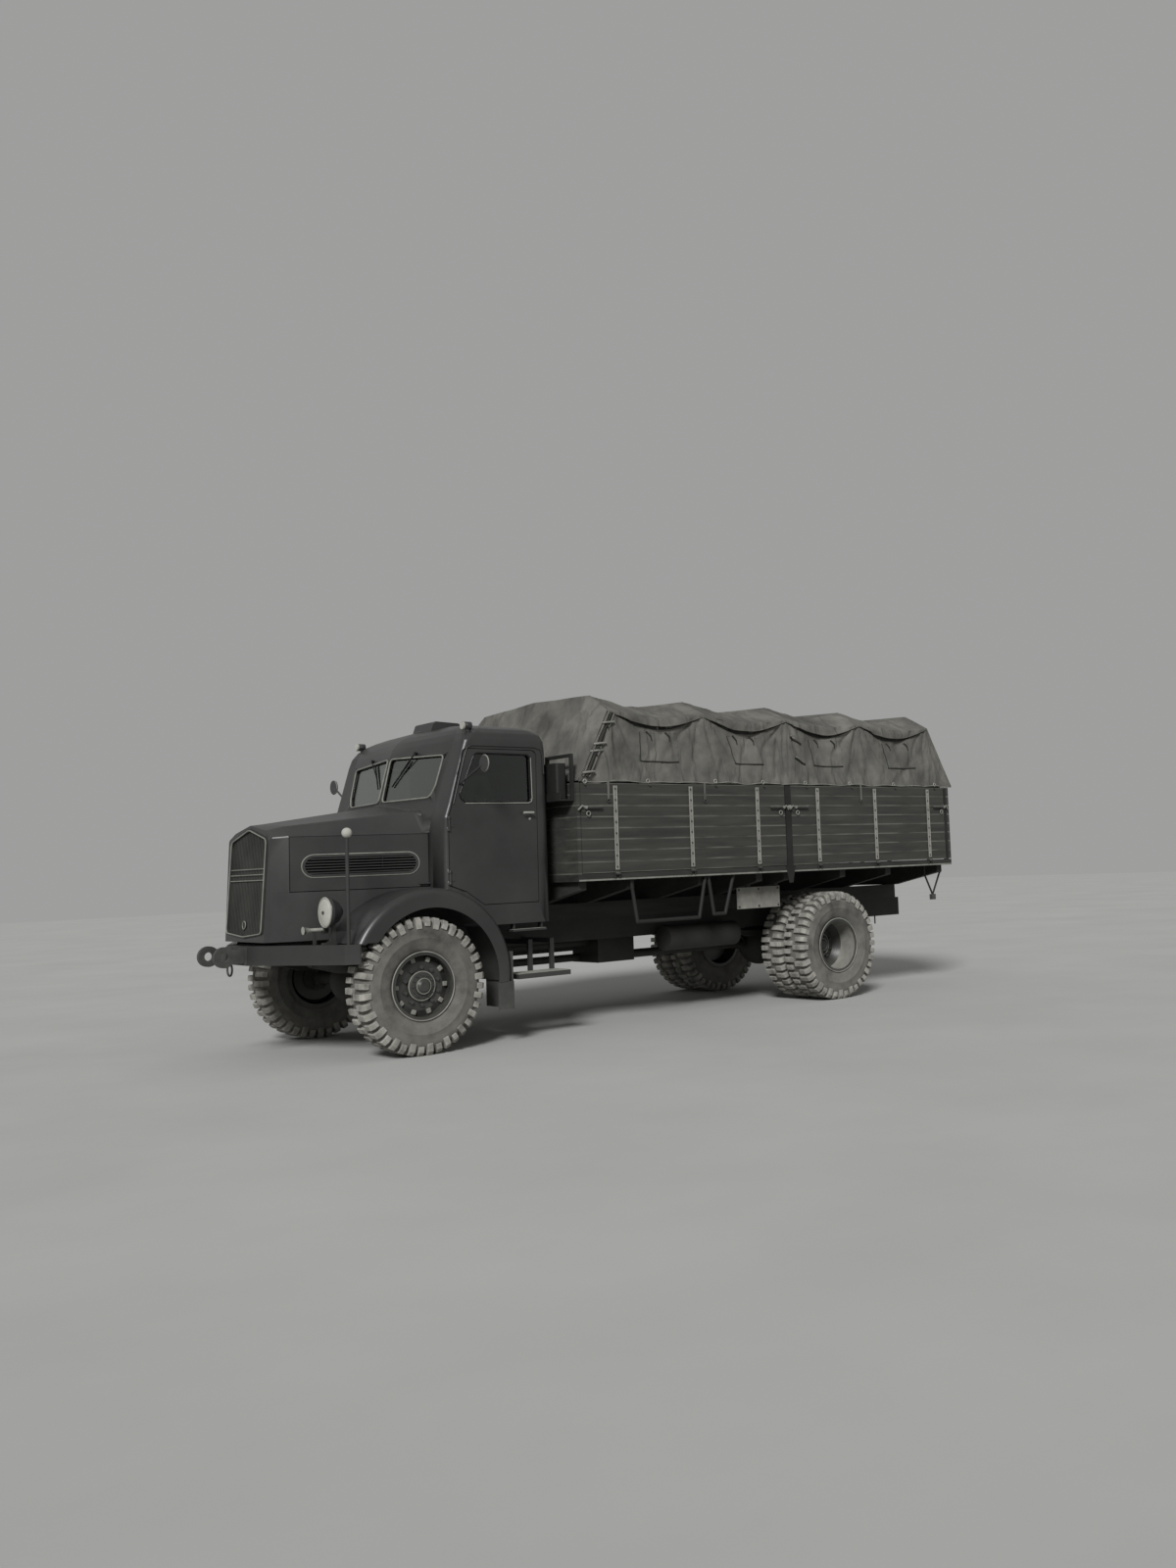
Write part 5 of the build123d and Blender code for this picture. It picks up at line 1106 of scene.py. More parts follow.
seat_pad = pad("seat_pad", SEAT_SECTION, (945, 0, 1331), (0, 0, 1))
back_pad = pad("back_pad", BACK_SECTION, (1190, 0, 1600), (-1, 0, 0))
print("bench pads", [round(v, 3) for v in seat_pad.dimensions], [round(v, 3) for v in back_pad.dimensions])

# %% [markdown]
# ## The tilt's bows
#
# The tilt is one cotton cover over five hoops, called bows. It is laced down along a hem, rises as a wall
# to the eave, slopes in to a shoulder and meets at the ridge. Between the bows it sags. So its shape is
# known at every X from four corner points and one sag curve, the same ones that the CAD skin has.

# %% Outline of the stretched cloth
BOWS = (1830, 2920, 4000, 5070, 6150)
LIPS = (1433, 6475)      # front and rear edge of the hem
HEM, HEM_Y = 2174, 1255
EAVE, EAVE_Y = 2830, 1200
SHOULDER, SHOULDER_Y = 2990, 900
RIDGE = 3030
SAG = 70                 # how far the ridge hangs down between two bows
EAVE_IN = 14             # how far the eave is drawn in there
BOW_HALF = 25
FRONT_SLOPE = BOWS[0] - BOW_HALF - LIPS[0]       # length of the slanting end in front
REAR_SLOPE = LIPS[1] - BOWS[-1] - BOW_HALF       # and of the one behind


def sag_at(x):
    """How far down the roof hangs at X, and how free the cloth is there, from 0 on a bow to 1."""
    for a, b in zip(BOWS, BOWS[1:]):
        if a < x < b:
            free = math.sin(math.pi * (x - a) / (b - a))
            return SAG * free ** 1.3, free
    return 0.0, 0.0


def outline(x):
    """Half outline of the cloth at X: hem, eave, shoulder and ridge corners as (y, z)."""
    drop, free = sag_at(x)
    full = [(HEM_Y, HEM), (EAVE_Y - EAVE_IN * free, EAVE - drop * 0.75), (SHOULDER_Y, SHOULDER - drop),
            (0, RIDGE - drop)]
    lip = [(HEM_Y, HEM), (HEM_Y, HEM + 10), (SHOULDER_Y, HEM + 12), (0, HEM + 13)]
    if x < BOWS[0] - BOW_HALF:
        t = (BOWS[0] - BOW_HALF - x) / FRONT_SLOPE
    elif x > BOWS[-1] + BOW_HALF:
        t = (x - BOWS[-1] - BOW_HALF) / REAR_SLOPE
    else:
        return full
    return [(a[0] + (b[0] - a[0]) * t, a[1] + (b[1] - a[1]) * t) for a, b in zip(full, lip)]


print("ridge between two bows at", round(outline((BOWS[0] + BOWS[1]) / 2)[3][1]), "mm")

# %% [markdown]
# ## Folds
#
# Pulled canvas folds in ways that can be told apart. Star folds run down the wall from each bow's top,
# where the pull is strongest. Slanting ridges cross the bays, one deep pleat stands in the wall's middle,
# and the hem waves where it isn't laced. A cloth solver would find such folds by chance. Adding them up
# by formula puts each one where the photograph shows it.

# %% Kinds of fold
PLEAT_X, PLEAT_HALF = 3800, 30
PLEAT_LEAN = 110         # how far the pleat moves to the rear on its way up
PLEAT_DEPTH = 26
STAR_DEPTH = 26
STAR_RAYS = 6.5          # folds per radian round a bow's top
STAR_FULL = 260          # the folds open out to their full depth over this distance
STAR_REACH, STAR_FADE = 300, 330     # from here on they fade, and over what distance


def ridge(x, y, z):
    """Sharp-crested fold pattern from 0 to 1."""
    return 1 - min(1, 2.6 * abs(noise.noise(Vector((x, y, z)))))


def star_folds(x, t):
    """Folds that run down the wall from the top of the nearest bow, fading with distance."""
    bow = min(BOWS, key=lambda place: abs(place - x))
    across, down = x - bow, (1 - t) * (EAVE - HEM) + 70
    turn = math.atan2(across, down)
    reach = math.hypot(across, down)
    uneven = 0.9 * noise.noise(Vector((x / 300, t * 2, 1.7)))
    wave = 1 - abs(math.sin(STAR_RAYS * turn + bow * 0.7 + uneven))
    fade = math.exp(-max(0.0, reach - STAR_REACH) / STAR_FADE)
    return STAR_DEPTH * wave ** 2 * min(1.0, reach / STAR_FULL) * fade


def pleat(x, t):
    """One deep upright pleat in the middle of the wall."""
    away = (x - PLEAT_X - PLEAT_LEAN * t) / PLEAT_HALF
    return PLEAT_DEPTH * math.exp(-away * away) * math.sin(math.pi * min(1.0, t * 1.1)) ** 0.5


print("star folds", STAR_DEPTH, "mm deep, pleat", PLEAT_DEPTH, "mm")

# %% [markdown]
# ## From folds to a surface
#
# The folds together say how far each place of the cloth is drawn inwards. A bow holds the cloth, so most of
# them are scaled by how free it is. One function then gives the finished point for any place: which run of
# the outline it lies on, how far along it, and how far outside. Flaps, seams and rope lie on it later.

# %% Points on the folded cloth
END_CALM = 120           # folds die out over this length at both ends
HEM_WAVE = 4             # how far the hem's edge goes up and down


def fold_depth(x, run, t):
    """Millimetres by which the cloth is drawn inwards at a place on it."""
    free = sag_at(x)[1]
    along, down = x / 1000, (t if run == 0 else 1.0 - 0.3 * t)
    # Slow swells half a metre long, two sets of slanting ridges that cross, and wrinkles of a hand's width.
    broad = noise.noise(Vector((along * 2.3, down * 2.1 + 5 * run, 0.3))) + 0.35
    slant = ridge(along * 3.4 + down * 1.6, down * 1.5 - along * 1.1, 2.0 + run)
    other = ridge(along * 2.7 - down * 1.9, down * 1.2 + along * 0.8, 7.0 + run)
    fine = ridge(along * 8.5 + down, down * 5.0, 11.0 + run)
    depth = (4 + 8 * free) * broad + (4 + 7 * free) * (slant + 0.7 * other) + 3.5 * fine
    if run == 0:
        # The wall is also drawn in at its middle, and the loose hem ripples.
        depth += 20 * free * math.sin(math.pi * t) * (0.6 + 0.5 * broad) + star_folds(x, t) + pleat(x, t)
        hem = max(0.0, 1 - t / 0.3)
        depth += hem * (6 + 6 * math.sin(along * 21) + 5 * math.sin(along * 47 + 1))
    ends = min(1.0, (x - LIPS[0]) / END_CALM, (LIPS[1] - x) / END_CALM)
    return depth * max(0.0, ends)


def skin_point(x, run, t, out=0.0):
    """Point on the cloth: which run of the outline, how far along it, and how far outside."""
    corners = outline(x)
    a, b = corners[run], corners[run + 1]
    y, z = a[0] + (b[0] - a[0]) * t, a[1] + (b[1] - a[1]) * t
    normal = Vector((b[1] - a[1], a[0] - b[0])).normalized()
    push = fold_depth(x, run, t) - out
    if run == 0 and t < 0.12:
        z += HEM_WAVE * math.sin(x / 95) * (1 - t / 0.12)
    return y - normal.x * push, z - normal.y * push


print("wall's middle at", [round(v) for v in skin_point(PLEAT_X, 0, 0.5)])

# %% [markdown]
# ## Cutting the cloth
#
# Cloth is a net of crossing threads, and a regular grid of four-sided faces folds like one. Rows cross the
# truck from hem to hem, closer together round each bow where the cloth bends sharply. The same function
# that lays the tilt cuts flaps and the dark sheets of painted shade, which get a thickness from the
# Solidify modifier.

# %% Grid of cloth
RUNS = (34, 12, 18)      # grid cells from hem to eave, to shoulder, to ridge
BAY_CELLS = 54
END_CELLS = 12


def stations():
    """X positions of the grid, closer round each bow and at the ends."""
    out = {float(LIPS[0]), float(LIPS[1])}
    for step in range(1, END_CELLS):
        out.add(LIPS[0] + FRONT_SLOPE * step / END_CELLS)
        out.add(BOWS[-1] + BOW_HALF + REAR_SLOPE * step / END_CELLS)
    for bow in BOWS:
        out.update((bow - BOW_HALF, bow - 10.0, float(bow), bow + 10.0, bow + BOW_HALF))
    for a, b in zip(BOWS, BOWS[1:]):
        for step in range(1, BAY_CELLS):
            out.add(a + BOW_HALF + (b - a - 2 * BOW_HALF) * step / BAY_CELLS)
    return sorted(out)


def cloth_grid(name, rows, material, thick=0.0):
    """Mesh grid from rows of points, with a thickness in metres if any."""
    across = len(rows[0])
    verts = [at(*point) for row in rows for point in row]
    faces = [(a, a + 1, a + across + 1, a + across) for start in range(0, len(verts) - across, across)
             for a in range(start, start + across - 1)]
    obj = mesh_object(name, verts, [], faces, material)
    if thick:
        obj.modifiers.new("cloth", "SOLIDIFY").thickness = thick
        bpy.ops.object.modifier_apply(modifier="cloth")
    smooth(obj, 60)
    return obj


print(len(stations()), "rows of", 2 * sum(RUNS), "cells")

# %% [markdown]
# ## The tilt
#
# The grid is now laid over the bows, left half first and then its mirror with the same folds. Its live
# Solidify modifier gives it 3 mm, as heavy canvas has at its seams. The rear end has a doorway above the
# tailgate, made by deleting the faces there, as one would cut it out with shears.

# %% Lay the tilt and cut its doorway
DOOR_HALF, DOOR_TOP = 980, 2700
CANVAS_THICK = 0.003
rows = []
for x in stations():
    half_row = []
    for run, cells in enumerate(RUNS):
        for cell in range(cells if run < 2 else cells + 1):
            half_row.append(skin_point(x, run, cell / cells))
    rows.append([(x, -y, z) for y, z in half_row] + [(x, y, z) for y, z in half_row[-2::-1]])
tilt = cloth_grid("tilt_cloth", rows, CANVAS)

pick(tilt)
bpy.ops.object.mode_set(mode="EDIT")
bpy.ops.mesh.select_all(action="DESELECT")
bpy.ops.object.mode_set(mode="OBJECT")
behind = at(BOWS[-1] + 60, 0, 0).x
for face in tilt.data.polygons:
    c = face.center
    face.select = c.x > behind and abs(c.y) < DOOR_HALF / 1000 and c.z < DOOR_TOP / 1000
bpy.ops.object.mode_set(mode="EDIT")
bpy.ops.mesh.delete(type="FACE")
bpy.ops.object.mode_set(mode="OBJECT")
cloth = tilt.modifiers.new("cloth", "SOLIDIFY")
cloth.thickness = CANVAS_THICK
cloth.offset = -1
ride_with(tilt, "chassis")
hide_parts("canvas_tilt")
print("tilt of", len(tilt.data.polygons), "faces")

# %% [markdown]
# ## Flat size
#
# A tent maker cuts the tilt from flat cloth. Its width is twice the run from hem to ridge, and its length
# is the distance between the two hem corners and what the front end takes.

# %% [markdown]
# ## Patches and seams
#
# Whatever is sewn to the tilt follows its folds. A patch is a small grid laid on the wall and lifted off by
# a few millimetres, and a seam is a thin bar along the wall. Both ask the cloth for its points, so nothing
# floats and nothing sinks in.

# %% Lay things on the wall
CLOTH = 0.0015           # thickness of patches, in metres
PATCH_ALONG, PATCH_UP = 14, 12       # cells of a patch
SEAM_PARTS = 10          # chords of a seam


def on_wall(x, t, side, out, run=0):
    """Point on the cloth of one side, lifted off it."""
    y, z = skin_point(x, run, t, out)
    return (x, side * y, z)


def level_on_wall(x, z, side, out):
    """Point on the wall at a height, or on its upper edge where the wall is lower than that."""
    top = outline(x)[1][1]
    return on_wall(x, min(1.0, (z - HEM) / (top - HEM)), side, out)


def patch(name, x0, x1, t0, t1, side, out, material, lean):
    """Piece of cloth lying on the wall, lifted off it by out millimetres, its front edge leaning."""
    rows = []
    for i in range(PATCH_ALONG + 1):
        share = i / PATCH_ALONG
        rows.append([on_wall(x0 + (x1 - x0) * share + lean * (1 - j / PATCH_UP) * (1 - share),
                             t0 + (t1 - t0) * j / PATCH_UP, side, out) for j in range(PATCH_UP + 1)])
    return cloth_grid(name, rows, material, CLOTH)


def seam(name, x0, x1, t0, t1, side, out, radius, material=CANVAS_DARK):
    """Thin line lying on the wall between two places."""
    steps = [i / SEAM_PARTS for i in range(SEAM_PARTS + 1)]
    points = [on_wall(x0 + (x1 - x0) * s, t0 + (t1 - t0) * s, side, out) for s in steps]
    return tube(name, points, radius, material)


print("patches", 1000 * CLOTH, "mm thick")

# %% [markdown]
# ## Window flaps
#
# Each bay of the wall has a window closed by a canvas flap. Its heavy lower edge and leaning front edge
# show as dark lines, and two tabs hold it from above. The windows could be cut out first, but behind a
# closed flap nobody would see them. The flaps differ a little in place and lean, as if sewn by hand.

# %% Close the windows
WINDOW_FLAPS = ((2165, 2600, 0), (3225, 3670, 80), (4330, 4790, 30), (5440, 5920, 70))   # front, rear, lean
FLAP_LOW, FLAP_HIGH = 0.33, 0.76     # share of the wall's height
TAB_IN = 110                         # from the flap's corner to its tab


def window_flap(x0, x1, lean, side):
    """Flap with its edges and two tabs, between X positions x0 and x1."""
    low, high = FLAP_LOW, FLAP_HIGH
    pieces = [patch("flap", x0, x1, low, high, side, 3, CANVAS, lean),
              seam("flap_low", x0 + lean - 12, x1, low, low, side, 3, 8),
              seam("flap_front", x0 + lean, x0 - 4, low, high, side, 3, 5),
              seam("flap_rear", x1, x1, low, high, side, 2, 2.5),
              seam("flap_top", x0, x1, high, high, side, 2, 2)]
    for x in (x0 + TAB_IN, x1 - TAB_IN):
        pieces.append(seam("tab", x - 32, x + 12, high + 0.02, high - 0.05, side, 7, 9))
        pieces.append(seam("tab_end", x + 12, x + 16, high - 0.05, high - 0.11, side, 7, 6))
    return pieces


print(len(WINDOW_FLAPS), "window flaps a side")

# %% [markdown]
# ## Valance
#
# The roof's cloth ends in an edge that hangs over the wall. Bows hold it up, so it is short at each bow and
# deep in between, like scallops, and it stands off the wall and throws a shadow. A dark strip behind the
# edge adds painted shadow to it, since the overcast light alone would leave it grey.

# %% Hang the roof's edge
VALANCE_LOW, VALANCE_DEEP = 0.972, 0.11      # share of the wall's height at a bow, and the drop between
VALANCE_STEP = 25


def valance(side):
    """Edge of the roof cloth hanging over the wall, its hem and a dark strip of painted shadow behind it.
    """
    rows, shade = [], []
    for x in range(BOWS[0] - BOW_HALF, BOWS[-1] + BOW_HALF + 1, VALANCE_STEP):
        free = sag_at(x)[1]
        low = VALANCE_LOW - VALANCE_DEEP * free
        out = 9 + 38 * free + 3 * math.sin(x / 53)
        rows.append([on_wall(x, t, side, lift, run) for run, t, lift in
                     ((1, 0.5, 3), (1, 0.25, 4), (1, 0.03, 6 + 0.3 * out), (0, 0.99, 7 + 0.6 * out),
                      (0, (0.99 + low) / 2, 4 + 0.9 * out), (0, low, out))])
        # The dark strip below the valance's edge is painted shadow.
        shade.append([on_wall(x, t, side, 5) for t in (low + 0.03, low - 0.012 - 0.03 * free)])
    return [cloth_grid("valance", rows, CANVAS, CLOTH),
            tube("valance_hem", [row[-1] for row in rows], 6, CANVAS),
            cloth_grid("valance_shade", shade, CANVAS_DARK, CLOTH)]


print("valance of", len(range(BOWS[0] - BOW_HALF, BOWS[-1] + BOW_HALF + 1, VALANCE_STEP)), "rows")

# %% [markdown]
# ## Front corners
#
# The end of the tilt is a separate cloth, closed to the wall along a slanting corner. One sees a slit with
# a rolled edge on both sides, and pale toggles across it with loops of lace. They are bent bars laid at the
# height where the slope meets the wall, and the slit is a dark one, painted shade for the dark gap.

# %% Lace the corners
SLIT_SHARES = (0.96, 0.8, 0.6, 0.4, 0.2, 0.05)
TOGGLE_SHARES = (0.8, 0.5, 0.4, 0.1)


def slope_place(share):
    """X and height on the slanting front corner, at a share of the way up it."""
    x = LIPS[0] + FRONT_SLOPE * share
    return x, outline(x)[1][1]


def corner_lacing(side):
    """Dark bar of painted shade in the slit beside the slanting front corner, cloth edges along it and pale
    toggles across it.
    """
    slope = [slope_place(share) for share in SLIT_SHARES]
    pieces = [tube(name, [level_on_wall(x + back, z, side, out) for x, z in slope], thick, material)
              for name, back, out, thick, material in (("corner_slit_shade", 62, 6, 15, CANVAS_DARK),
                                                       ("corner_edge", 28, 10, 9, CANVAS),
                                                       ("corner_edge", 96, 10, 9, CANVAS))]
    for x, z in [slope_place(share) for share in TOGGLE_SHARES]:
        across = [level_on_wall(x + step, z + 0.12 * step, side, lift)
                  for step, lift in ((4, 22), (60, 30), (135, 20))]
        pieces.append(tube("toggle", across, 10, STRAP_STEEL))
        lace = [level_on_wall(x + 60, z + rise, side, 20) for rise in (40, -45)]
        pieces.append(tube("lace", lace, 6, CANVAS_DARK))
    return pieces


print(len(TOGGLE_SHARES), "toggles on each front corner")

# %% [markdown]
# ## Hem, hooks and ties
#
# A rope is threaded along the hem, and eyelets catch on hooks in the boards. Short straps with a ring hang
# from it to tie the sides down. The rope simply rests on the cloth, so it follows the hem's own waves and
# needs no solver.

# %% Fasten the hem
ROPE_END, ROPE_STEP = 40, 30


def hem_hook(x, side):
    """Pale eyelet at the hem over a hook on the board."""
    px, py, pz = on_wall(x, 0.035, side, 7)
    return [ring("eyelet", (px, py, pz), 17, 5, TRIM, 10),
            rod("hook", (px, side * 1242, 2152), (px, side * 1262, 2152), 9, COUPLING, 8)]


def hem_rope(side):
    """Pale rope threaded along the hem from eyelet to eyelet."""
    places = range(LIPS[0] + ROPE_END, LIPS[1] - ROPE_END + 1, ROPE_STEP)
    points = [on_wall(x, 0.014 + 0.008 * math.sin(x / 70), side, 8) for x in places]
    return tube("hem_rope", points, 5, SEAL)


def tie_strap(x, side):
    """Short strap hanging over the board from under the hem, with a ring at its end."""
    y = side * 1250
    strap = box("tie", (x - 11, min(y, y + side * 3), 2020), (x + 11, max(y, y + side * 3), 2185), CANVAS)
    return [strap, ring("tie_ring", (x, y + side * 4, 2008), 15, 4, COUPLING, 10)]


print("hem rope", (LIPS[1] - LIPS[0] - 2 * ROPE_END) / 1000, "m a side")

# %% [markdown]
# ## Everything sewn on
#
# The two sides now get their flaps, valance, lacing, rope, hooks and ties. One side could be mirrored,
# but building both lets every piece ask its own side of the cloth for its place. A seam crosses the roof
# at each bow, where the cloth is worn over it.

# %% Sew on flaps, valance, lacing and seams
HEM_HOOKS = (1500, 2210, 3000, 3620, 4200, 4860, 5540, 6190)
TIE_STRAPS = (1750, 2860, 5000)
LOOSE_STRAPS = ((4040, 0.74), (4080, 0.42))      # X and share of the wall's height
BOW_SEAM = ((0, 0.9), (1, 0.0), (1, 0.5), (2, 0.0), (2, 0.5), (2, 1.0))
trim = []
metal = []
for side in (-1, 1):
    for x0, x1, lean in WINDOW_FLAPS:
        trim += window_flap(x0, x1, lean, side)
    for x, t in LOOSE_STRAPS:
        trim.append(seam("strap", x, x + 150, t, t - 0.08, side, 9, 10))
        trim.append(seam("strap_end", x + 10, x + 60, t + 0.02, t - 0.01, side, 14, 7, SEAL))
    trim += valance(side)
    trim += corner_lacing(side)
    trim.append(hem_rope(side))
    for x in HEM_HOOKS:
        metal += hem_hook(x, side)
    for x in TIE_STRAPS:
        metal += tie_strap(x, side)
for x in BOWS:
    over = [on_wall(x, t, -1, 3, run) for run, t in BOW_SEAM]
    mirrored = [(px, -py, pz) for px, py, pz in reversed(over[:-1])]
    trim.append(tube("bow_seam", over + mirrored, 4, CANVAS))
print(len(trim), "cloth and", len(metal), "metal pieces on the tilt")

# %% [markdown]
# ## Shade inside the boards and rolled flap
#
# Below the hem one sees darkness inside the boards, drawn as painted shade: a low dark grid with a slight
# wave. Over the doorway the rear flap is rolled up and tied, which a thick bent bar shows well enough.

# %% Painted shade inside the boards
SHADE_SHEET_LEVELS = (2160, 2120)
SHADE_SHEET_WAVE = 1.5
# Dark sheets inside the boards, coloured as painted shade of the bed's inside.
for side in (-1, 1):
    shade_sheet = [[(x, side * (1201 + SHADE_SHEET_WAVE * math.sin(x / 60)), z) for z in (2205, *SHADE_SHEET_LEVELS)]
             for x in range(1455, 6375, 30)]
    trim.append(cloth_grid("inner_shade_sheet", shade_sheet, CANVAS_DARK, CLOTH))
shade_sheet = [[(1458 + SHADE_SHEET_WAVE * math.sin(y / 60), y, z) for z in (2196, *SHADE_SHEET_LEVELS)]
         for y in range(-1190, 1191, 35)]
trim.append(cloth_grid("inner_shade_sheet", shade_sheet, CANVAS_DARK, CLOTH))
roll_x = BOWS[-1] + 80
roll = [(roll_x, -DOOR_HALF + 10, DOOR_TOP - 30), (roll_x - 6, -350, DOOR_TOP - 44),
        (roll_x - 4, 350, DOOR_TOP - 40), (roll_x, DOOR_HALF - 10, DOOR_TOP - 28)]
trim.append(tube("rear_roll", roll, 42, CANVAS))
print("shade_sheets and roll make", len(trim), "cloth pieces")

# %% [markdown]
# ## One cover
#
# All that is sewn on becomes two pieces, cloth and metal, which ride where the tilt rides.

canvas_trim, canvas_metal = join(trim, "canvas_trim"), join(metal, "canvas_metal")
ride_with(canvas_trim, "chassis")
ride_with(canvas_metal, "chassis")
print("canvas trim", len(canvas_trim.data.polygons), "faces")

# %% [markdown]
# ## Strap covers
#
# Each board is held by three upright straps of pressed steel: a flat web with two raised edges that catch
# the light, and a bolt through every plank. Plates and bars give that exactly. The tailgate has the same
# straps, turned to face the rear. They end above the hinge lugs, so that nothing meets when a board hangs
# down.

# %% Straps on the boards
STRAP_X = (1818, 2681, 3517, 4343, 5198, 6055)
BAYS = (("front", STRAP_X[:3]), ("rear", STRAP_X[3:]))
STRAP_FACE = 1256        # outer face of a strap, from the middle
STRAP_HALF = 17
STRAP_LOW, STRAP_HIGH = 1401, 2143   # clear of the hinge lug when the board hangs down
PLANK_MIDDLES = [1000 * (BOARD_LOW + BOARD_PITCH * (i + 0.5)) for i in range(8)]


def strap(across, face, place):
    """Strap cover about a middle line, its web, edges and bolts placed by place(across, out, height)."""
    bits = [box("web", place(across - STRAP_HALF, face - 1, STRAP_LOW),
                place(across + STRAP_HALF, face + 1, STRAP_HIGH), STRAP_STEEL)]
    # The raised edges take the paler trim finish: painted highlight where they catch the light.
    for edge in (across - 16, across + 16):
        bits.append(box("edge", place(edge - 2.5, face - 1, STRAP_LOW),
                        place(edge + 2.5, face + 8, STRAP_HIGH), TRIM))
    for z in PLANK_MIDDLES:
        bits.append(rod("bolt", place(across, face, z), place(across, face + 7, z), 8, COUPLING, 8))
    return bits


def side_strap(x):
    """Right-hand strap cover, with a foot over its hinge."""
    bits = strap(x, STRAP_FACE, lambda across, out, z: (across, out, z))
    bits.append(box("foot", (x - STRAP_HALF, STRAP_FACE - 1, STRAP_LOW),
                    (x + STRAP_HALF, STRAP_FACE + 6, STRAP_LOW + 13), STRAP_STEEL))
    return bits


for bay, straps in BAYS:
    bits = [bit for x in straps for bit in side_strap(x)]
    both_sides(bits, f"strap_covers_{bay}", f"dropside_{bay}_SIDE")

# %% [markdown]
# ## Tailgate straps
#
# The tailgate has four of the same straps. Copies of a side strap could be turned to the rear. It is
# plainer to call the same function with width and depth exchanged. They ride on the tailgate.

# %% Straps on the tailgate
GATE_Y = (-930, -310, 310, 930)
GATE_FACE = 6438         # outer face of a strap on the tailgate
bits = [bit for y in GATE_Y for bit in strap(y, GATE_FACE, lambda across, out, z: (out, across, z))]
gate_straps = join(bits, "gate_straps")
ride_with(gate_straps, "tailgate")
print("gate straps", [round(v, 3) for v in gate_straps.dimensions])

# %% [markdown]
# ## Latches
#
# Toggle latches hold the boards at the corners and at the middle stake: a plate with a pivot, a long
# handle with a lip, a hook and a ring. They are drawn on the board beside the stake, and ride on it,
# because that is where the real ones stay when the board drops.

# %% Fit the latches
HANDLE = 175
LATCH_Z = 1950           # height of the pivot


def latch(x, s):
    """Right-hand toggle latch, its handle pointing to the rear for s = 1 and to the front for s = -1."""
    near, far = min(x, x + s * HANDLE), max(x, x + s * HANDLE)
    hook = [(x - s * 75, 1262, 1926), (x - s * 35, 1270, 1964), (x, 1270, LATCH_Z)]
    return [box("plate", (x - 30, 1246, 1908), (x + 30, 1251, 1982), COUPLING, 2),
            rod("pivot", (x, 1247, LATCH_Z), (x, 1282, LATCH_Z), 15, STRAP_STEEL, 12),
            box("handle", (near, 1262, 1941), (far, 1276, 1960), COUPLING, 3),
            box("lip", (near, 1262, 1960), (far, 1277, 1964), STRAP_STEEL),
            tube("hook", hook, 8, STRAP_STEEL),
            ring("ring", (x + s * 34, 1262, 1896), 20, 5, STRAP_STEEL, 12)]


stake_pivot = rod("pivot", (3938, 1247, LATCH_Z), (3938, 1284, LATCH_Z), 20, STRAP_STEEL, 12)
both_sides([stake_pivot], "mid_stake_pivot", "chassis")
both_sides(latch(1490, 1), "front_latch", "dropside_front_SIDE")
both_sides(latch(4020, 1) + latch(6315, -1), "rear_latch", "dropside_rear_SIDE")
both_sides(latch(3856, -1), "middle_latch", "dropside_front_SIDE")

# %% [markdown]
# ## Floor edge, headboard posts and rear lamps
#
# A pale steel angle edges the floor, two posts stiffen the headboard towards the cab, and a small lamp
# hangs under each rear corner. They could be rolled sections, but only a thin face of each shows, so
# plates cut to size do.

# %% Fix the bed's fittings
bits = [box("floor_edge", (1416, 1245, 1312), (6424, 1248, 1326), STRAP_STEEL)]
for y in (240, 700):
    bits.append(box("upright", (1400, y - 18, 1380), (1411, y + 18, 2160), CHASSIS))
bits.append(box("lamp", (6232, 1068, 930), (6292, 1112, 990), COUPLING, 4))
both_sides(bits, "bed_fixings", "chassis")

# %% [markdown]
# ## Splash plates and steps
#
# In front of the rear wheels hangs a dusty plate, bolted on at six points. The cab steps have four bright
# treads each, rubbed by boots. The dust and the rubbing could be patterns in the paint. Thin plates in a
# pale finish are simpler and give the crisp edges that show from afar.

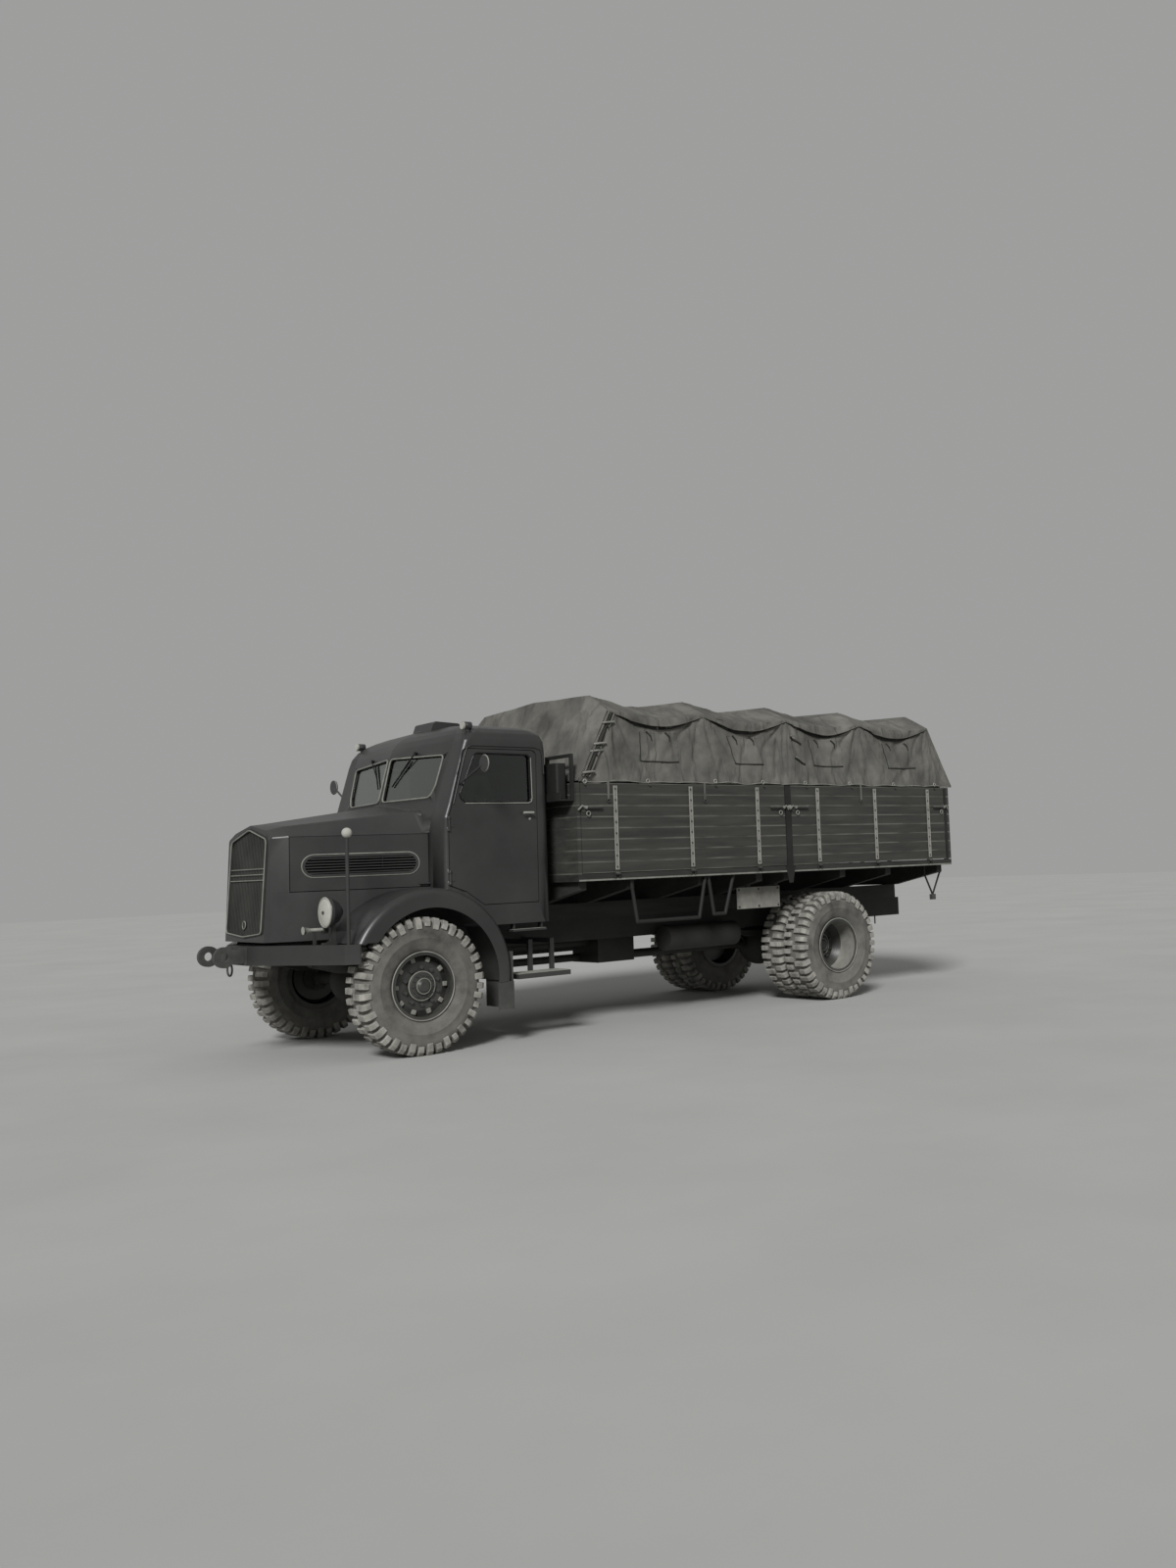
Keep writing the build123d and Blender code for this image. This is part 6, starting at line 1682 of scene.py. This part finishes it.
# %% Cover the plates and tread the steps
TREADS, TREAD_PITCH, TREAD_WIDE = 4, 60, 46
bits = [box("plate_cover", (3424, 1007, 969), (3996, 1010, 1176), DUSTY, 1)]
for x in (3450, 3710, 3970):
    for z in (990, 1155):
        bits.append(rod("bolt", (x, 1009, z), (x, 1018, z), 10, COUPLING, 8))
for i in range(TREADS):
    y = 862 + TREAD_PITCH * i
    bits.append(box("tread", (884, y, 559), (1396, y + TREAD_WIDE, 564), TRIM, 1))
bits.append(box("upper_tread", (856, 984, 933), (1174, 1076, 937), STRAP_STEEL, 1))
both_sides(bits, "under_bed_trim", "chassis")

# %% [markdown]
# ## Studio floor
#
# The truck stands on open, pale ground that runs into an even grey background. A curved paper sweep is the
# usual studio answer. A flat floor so wide that it fades into the sky does as well, and the soft shadow on
# it seats the truck.

# %% Floor
FLOOR_SIZE = 120         # metres, so that its edge is lost at the horizon
bpy.ops.object.select_all(action="DESELECT")
bpy.ops.mesh.primitive_plane_add(size=FLOOR_SIZE, location=(0, 0, 0))
floor = bpy.context.object
floor.name = "floor"
# Trowelled concrete, drawn nearly even: blotches of 2 m in two tones that differ by a hair.
FLOOR = surface("trowelled_concrete", "a9a9a7", "afafad", 2000, rough=0.95, bump=0.0, gloss=0.0)
floor.data.materials.append(FLOOR)
print("floor", [round(v) for v in floor.dimensions[:2]], "m")

# %% [markdown]
# ## Light
#
# The sky lights the truck from all round, and the sun alone gives it a shadow side. Two lamps with soft
# boxes could do the same indoors. Here the world's colour is the sky, and the sun comes from high at the
# front left and is blurred by its wide angle. The view transform is Standard, so that the greys come out
# as given.

# %% Sky and sun
SKY, SKY_STRENGTH = "d4d4d3", 0.52
SUN_FROM = (-7, -6.5, 6.5)
SUN_STRENGTH, SUN_SPREAD = 3.0, 14   # and how many degrees wide it looks
world = bpy.context.scene.world or bpy.data.worlds.new("studio")
bpy.context.scene.world = world
world.use_nodes = True
world.node_tree.nodes["Background"].inputs["Color"].default_value = linear(SKY)
world.node_tree.nodes["Background"].inputs["Strength"].default_value = SKY_STRENGTH

bpy.ops.object.light_add(type="SUN", location=SUN_FROM)
sun = bpy.context.object
sun.name = "key"
sun.data.energy = SUN_STRENGTH
sun.data.angle = math.radians(SUN_SPREAD)
sun.rotation_euler = (-Vector(SUN_FROM)).to_track_quat("-Z", "Y").to_euler()
bpy.context.scene.cycles.caustics_reflective = False
bpy.context.scene.view_settings.view_transform = "Standard"
print("sun of strength", sun.data.energy, "under a sky of", [round(v, 3) for v in linear(SKY)[:3]])
